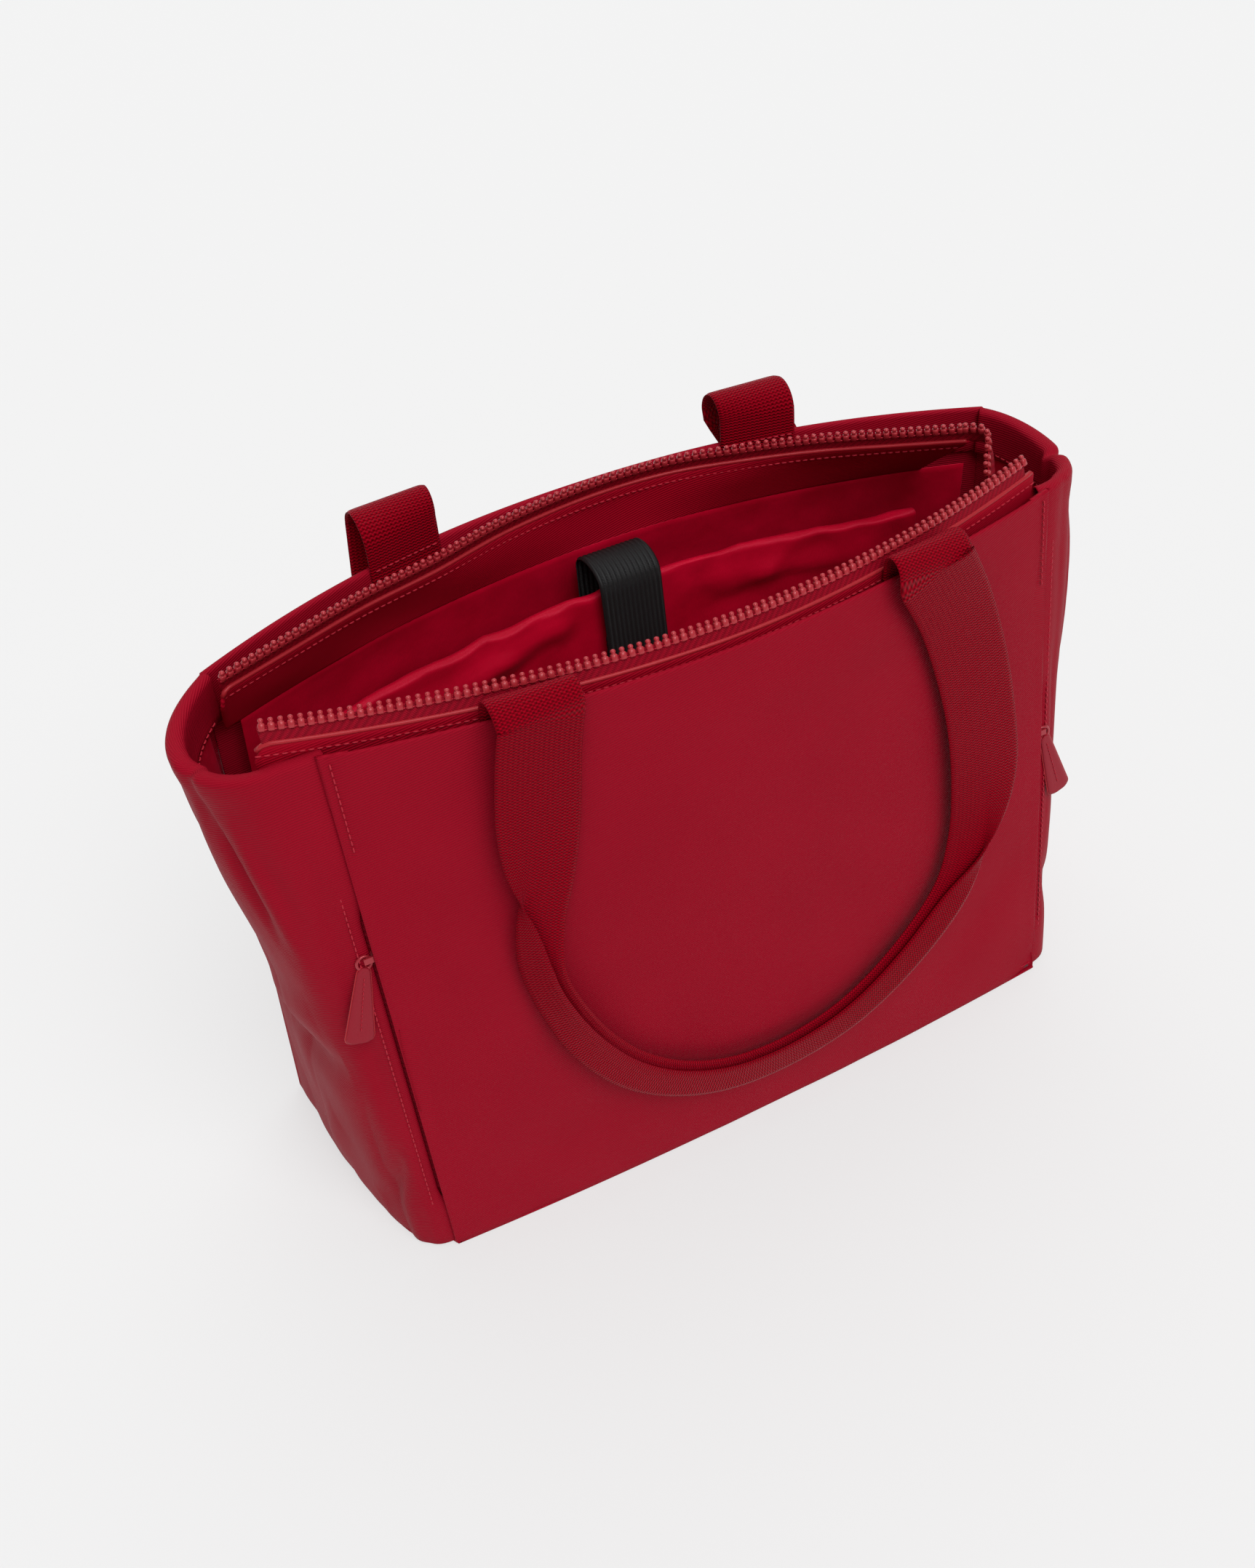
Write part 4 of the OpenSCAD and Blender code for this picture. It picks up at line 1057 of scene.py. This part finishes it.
def handle(name, side, axis, leg_r, seat_y, slope, hang):
    """One webbing handle: from its seat over the rim, round the loop and back. side is -1 in front."""
    axis_y, axis_z = axis
    seat_steps = 12
    leg_y = axis_y + side * leg_r
    u = np.linspace(0, 1, 190)
    route = curve(HANDLE_LINE, u)
    z = route[:, 1] * axis_z
    rise = np.clip(z / axis_z, 0, 1)
    y = lerp(hang(route[:, 0], z), leg_y, rise ** 8)
    loop = xyz(route[:, 0], y, z)
    seat_z = np.linspace(BODY_H - SEAT_DEPTH, axis_z - 1.2, seat_steps)
    a = np.linspace(0, math.pi, 22)[1:-1]
    ends = []
    for end in (-1, 1):
        x = end * SEAT_X
        seat = xyz(x, seat_y(x, seat_z), seat_z)
        near = seat_y(x, BODY_H)
        middle, span = (near + leg_y) / 2, (near - leg_y) / 2
        arch = xyz(x, middle + span * np.cos(a), axis_z + (abs(span) + 1.5) * np.sin(a))
        ends.append(np.concatenate([seat, arch]))
    path = np.concatenate([ends[0], loop, ends[1][::-1]])
    lead = len(ends[0])
    past = lead + len(loop)
    ease = np.concatenate([np.full(seat_steps, 1.0), np.linspace(1, 0, lead - seat_steps)]) * math.atan(slope)
    tilt = np.concatenate([-ease, np.zeros(len(loop)), ease[::-1]])
    along = unit(np.gradient(path, axis=0))
    across = unit(np.cross(along, [0.0, side * 1.0, 0.0]))
    for i in (*range(lead), *range(past, len(path))):
        flat = np.array([math.cos(tilt[i]), math.sin(tilt[i]), 0.0])
        leg = across[lead + 3] if i < lead else across[past - 4]
        across[i] = flat * (1 if flat @ leg > 0 else -1)
    sideways = np.array([1.0, 0.0, 0.0])
    for i in range(lead, past):
        fade = min(i - lead, past - 1 - i) / 10
        if fade < 1:
            across[i] = lerp(sideways if across[i] @ sideways > 0 else -sideways, across[i], fade)
    across = unit(across)
    twist = np.concatenate([np.zeros(lead), np.radians(route[:, 3]), np.zeros(lead)])
    out = unit(np.cross(along, across))
    across = unit(across * np.cos(twist)[:, None] + out * np.sin(twist)[:, None])
    share = np.concatenate([np.zeros(lead), np.clip(route[:, 2], 0, 1), np.zeros(lead)])

    def section(i, s):
        return folded_section(s, float(share[i]))

    piece, length = webbing_band(f"{name}_handle_webbing", path, across, section)
    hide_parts(f"{name}_handle_anchors", f"{name}_handle_bends", f"{name}_handle")
    start, end = (tuple(np.multiply(point, MM)) for point in HANDLE_BLEND[name])
    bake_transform(piece)
    return path, across, share


def rim_slope(bow, power, half):
    """How steeply a wall's rim runs, in plan, at the seats."""
    return bow * power / half * (SEAT_X / half) ** (power - 1)


def seat_rows(spots, wall_y, gap):
    """Rows across both seats of a handle, at (share of the height, z), gap from the wall."""
    rows = []
    for end in (-1, 1):
        x = end * SEAT_X + np.linspace(-16.5, 16.5, 16)
        rows += [xyz(x, wall_y(x, share) + gap, z) for share, z in spots]
    return rows


def handles():
    def front_seat(x, z):
        return front_y(x, np.minimum(z / BODY_H, 1)) + 4.4

    def back_seat(x, z):
        return back_y(x, np.minimum(z / BODY_H, 1)) - 5.4

    def front_hang(x, z):
        h = z / BODY_H
        return front_y(x, np.minimum(h, 1)) - 6.5 - 5 * np.sin(np.pi * np.clip(h, 0, 1)) ** 2

    def back_hang(x, z):
        return back_y(x, np.minimum(z / BODY_H, 1)) + 7.5

    slope = rim_slope(FRONT_RIM_BOW, FRONT_RIM_POWER, FRONT_HALF)
    path, across, share = handle("front", -1, FRONT_AXIS, FRONT_LEG_R, front_seat, slope, front_hang)
    slope = -rim_slope(BACK_RIM_BOW, BACK_RIM_POWER, BACK_HALF_TOP)
    handle("back", 1, BACK_AXIS, BACK_LEG_R, back_seat, slope, back_hang)
    held = np.where(share > 0.85)[0]
    held = held[(held > held[0] + 2) & (held < held[-1] - 2)]
    inner = path[held] - across[held] * (WEBBING_W / 2 * 0.5 - 2.6)
    along = unit(np.gradient(path, axis=0))
    out = unit(np.cross(along, across))[held]

    def facing(p):
        nearest = np.argmin(np.linalg.norm(p[:, None] - inner[None], axis=2), axis=1)
        return out[nearest]

    on_body(stitches("front_grip_stitch", [inner + out * 2.1], facing, "webbing", lift=0.15), "front_handle")
    rows = seat_rows(((0.985, 289.5), (0.96, 278.0)), back_y, -6.4)
    on_body(stitches("back_seat_stitch", rows, towards(0.0, -1.0, 0.1), "webbing"), "body")
    rows = seat_rows(((0.96, 279.0),), front_y, 5.3)
    on_front(stitches("front_seat_stitch", rows, towards(0.0, 1.0, 0.1), "webbing"))


# ---------------------------------------------------------------- side zips and pullers
def side_zip(side):
    name = "left" if side < 0 else "right"
    w, z = np.meshgrid(np.linspace(-5.5, 5.5, 8) * side, np.linspace(0, BODY_H - 14, 70), indexing="ij")
    grid = on_zip(1, 6, xyz(w * side, ZIP_RECESS + 0 * w, z))
    grid[..., 0] *= side
    tape = cloth(f"{name}_side_tape_woven", grid, 0.7, TAPE)
    on_front(tape, f"{name}_side_tape")
    pitch, per_turn = 1.6, 9
    s = np.arange(int((ZIP_HIGH - ZIP_LOW) / pitch) * per_turn + 1) / per_turn
    a = 2 * math.pi * s
    wide, deep, wire = 0.95, 0.55, 0.32
    local = xyz(wide * np.cos(a), ZIP_RECESS - 0.95 + deep * np.sin(a), s * pitch)
    helix = on_zip(side, ZIP_LOW, local)
    along = unit(np.gradient(helix, axis=0))
    one = unit(np.cross(along, [0.0, 0.0, 1.0]))
    rings = round_rings(helix, one, np.cross(along, one), wire, wire, 5)
    on_front(sweep(f"{name}_side_coil_wire", rings, TEETH), f"{name}_side_coil")
    lines = [on_zip(side, 6, xyz(x, ZIP_RECESS - 0.2, np.linspace(4, BODY_H - 20, 90))) for x in (-3.2, 3.2)]
    on_front(stitches(f"{name}_side_tape_stitch", lines, towards(0.0, -1.0, 0.1), "zip_tape"))
    parked = LEFT_SLIDER_Z if side < 0 else RIGHT_SLIDER_Z
    lean_axis = np.array([math.cos(PULLER_LEAN), 0.0, -math.sin(PULLER_LEAN)])
    up_axis = np.array([math.sin(PULLER_LEAN), 0.0, math.cos(PULLER_LEAN)])

    def to_bag(p):
        local = [*POST, 0.0] + p[..., :1] * lean_axis + p[..., 1:2] * [0, 1, 0] + p[..., 2:] * up_axis
        return on_zip(side, parked, local)

    leather_puller(name, 1.0, to_bag)


def leather_outline(scale):
    """Half outline of the puller from its fold down to its foot: (half width, distance down)."""
    top = [(3.0 * math.sin(a), 3.0 - 3.0 * math.cos(a)) for a in np.linspace(0.12, math.pi / 2, 7)]
    foot = [(3.5 + 3.0 * math.cos(a), 37.0 + 3.0 * math.sin(a)) for a in np.linspace(0, math.pi / 2 - 0.1, 7)]
    body = [(lerp(3.0, 6.5, t), lerp(3.0, 37.0, t)) for t in np.linspace(0.08, 0.94, 14)]
    return [(w * scale, d * scale) for w, d in top + body + foot]


def leather_puller(name, scale, to_bag):
    """Two layers of leather folded over the ring, stitched up the middle; to_bag maps across, through, up."""
    rows = leather_outline(scale)
    rings = []
    k = np.linspace(0, 2 * math.pi, 25)[:-1]
    for w, d in rows:
        across = np.sign(np.cos(k)) * np.abs(np.cos(k)) ** 0.55 * max(w, 0.3)
        groove = 0.22 * np.exp(-((across / 0.7) ** 2)) * (4 < d < 36)
        through = np.sign(np.sin(k)) * (np.abs(np.sin(k)) ** 0.5 * PULLER_HALF_T - groove)
        rings.append(xyz(across, through, -RING_DROP - d))
    body = f"{name}_puller"
    on_body(sweep(f"{name}_puller_leather", to_bag(np.array(rings)), LEATHER), body, body)
    z = np.linspace(-RING_DROP - 5.0 * scale, -RING_DROP - 33.0 * scale, 20)
    face = unit(to_bag(np.array([0.0, -1.0, 0.0])) - to_bag(np.zeros(3)))
    for which, side in (("front", -1), ("back", 1)):
        line = to_bag(xyz(0 * z, side * PULLER_HALF_T, z))
        thread = stitches(f"{name}_puller_stitch_{which}", [line], towards(*(-side * face)), "leather_pull",
                          0.05, PULLER_SEAM)
        on_body(thread, body)
    for which, side in (("one", 1), ("two", -1)):
        line = to_bag(np.array([(side * (w + 0.15), 0.0, -RING_DROP - d) for w, d in rows]))
        one = unit(np.cross(unit(np.gradient(line, axis=0)), face))
        rings = round_rings(line, one, np.tile(face, (len(line), 1)), 0.42, 0.42, 6)
        on_body(sweep(f"{name}_puller_edge_{which}", rings, EDGE), body)


def main_pull():
    at = box_middle("main_ring") + [0, 0, 1.8]

    def to_bag(p):
        return at + np.stack([p[..., 1], p[..., 0], p[..., 2]], -1)

    leather_puller("main", 0.8, to_bag)


def recolour(node, material):
    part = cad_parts[node]
    part.data.materials.clear()
    part.data.materials.append(material)
    return part


def metal_parts():
    """CAD parts that stay as they are: only their material and, on the sliders, a soft edge are added."""
    for name in ("main", "left", "right"):
        recolour(f"{name}_ring", ENAMEL)
        slider = recolour(f"{name}_slider", ENAMEL)
        soften = slider.modifiers.new("soft_edge", "BEVEL")
        soften.width = 0.25 * MM
        soften.segments = 2
        soften.limit_method = "ANGLE"
    recolour("left_side_stop", TEETH[1])
    recolour("right_side_stop", TEETH[1])
    recolour("zip_end_tab", TAPE[1])


# ---------------------------------------------------------------- studio
FLOOR_HALF = 6.0
FLOOR_GREY = 0.28
FLOOR_GLOW = 0.55
WORLD_LIGHT = 0.42
# Each light's name, the way it shines, its strength and its spread in degrees
SUNS = [
    ("key", (-0.04, 0.72, -1.0), 2.1, 45),
    ("back_fill", (-0.25, -0.55, -1.0), 0.95, 60),
]


def studio():
    scene = bpy.context.scene
    floor_data = bpy.data.meshes.new("floor")
    corners = [(x * FLOOR_HALF, y * FLOOR_HALF, 0) for x, y in ((-1, -1), (1, -1), (1, 1), (-1, 1))]
    floor_data.from_pydata(corners, [], [(0, 1, 2, 3)])
    floor = bpy.data.objects.new("floor", floor_data)
    scene.collection.objects.link(floor)
    floor.location.z = CAD_BOX[0][2] - 0.0004
    material, _, shader = nodes_of("studio_floor")
    shader.inputs["Base Color"].default_value = (FLOOR_GREY, FLOOR_GREY, FLOOR_GREY, 1)
    shader.inputs["Emission Color"].default_value = (1.0, 1.0, 1.0, 1)
    shader.inputs["Emission Strength"].default_value = FLOOR_GLOW
    shader.inputs["Roughness"].default_value = 0.9
    shader.inputs["Specular IOR Level"].default_value = 0.1
    floor_data.materials.append(material)
    world = bpy.data.worlds.new("studio_world")
    scene.world = world
    world.use_nodes = True
    sky = world.node_tree.nodes["Background"]
    sky.inputs["Color"].default_value = (1.0, 1.0, 1.0, 1)
    sky.inputs["Strength"].default_value = WORLD_LIGHT
    for name, aim, strength, spread in SUNS:
        lamp = bpy.data.lights.new(name, "SUN")
        lamp.energy = strength
        lamp.angle = math.radians(spread)
        holder = bpy.data.objects.new(name, lamp)
        scene.collection.objects.link(holder)
        holder.rotation_euler = Vector(aim).to_track_quat("-Z", "Y").to_euler()
    scene.view_settings.view_transform = "Standard"
    scene.view_settings.look = "None"


CAMERA_AT = (-0.2595, -0.5304, 0.6696)
CAMERA_AZIMUTH = -23.79
CAMERA_ELEVATION = 40.62
CAMERA_ROLL = -5.69
CAMERA_LENS = 36.2


def camera():
    az, el, roll = (math.radians(v) for v in (CAMERA_AZIMUTH, CAMERA_ELEVATION, CAMERA_ROLL))
    back = Vector((math.sin(az) * math.cos(el), -math.cos(az) * math.cos(el), math.sin(el)))
    right = (-back).cross(Vector((0, 0, 1))).normalized()
    up = right.cross(-back)
    turned_right = math.cos(roll) * right + math.sin(roll) * up
    turned_up = -math.sin(roll) * right + math.cos(roll) * up
    data = bpy.data.cameras.new("camera")
    data.lens = CAMERA_LENS
    data.sensor_width = 36.0
    data.clip_start = 0.01
    data.clip_end = 50
    holder = bpy.data.objects.new("camera", data)
    bpy.context.scene.collection.objects.link(holder)
    axes = Matrix((turned_right, turned_up, back)).transposed().to_4x4()
    axes.translation = Vector(CAMERA_AT)
    holder.matrix_world = axes
    bpy.context.scene.camera = holder


# ---------------------------------------------------------------- the whole scene
camera()
base()
front_panel()
back_panel()
for wall in (-1, 1):
    side_gusset(wall)
    side_inside(wall)
facings()
main_zip()
zip_bend()
front_inside()
back_inside()
sleeve()
strap()
handles()
for wall in (-1, 1):
    side_zip(wall)
main_pull()
metal_parts()
studio()
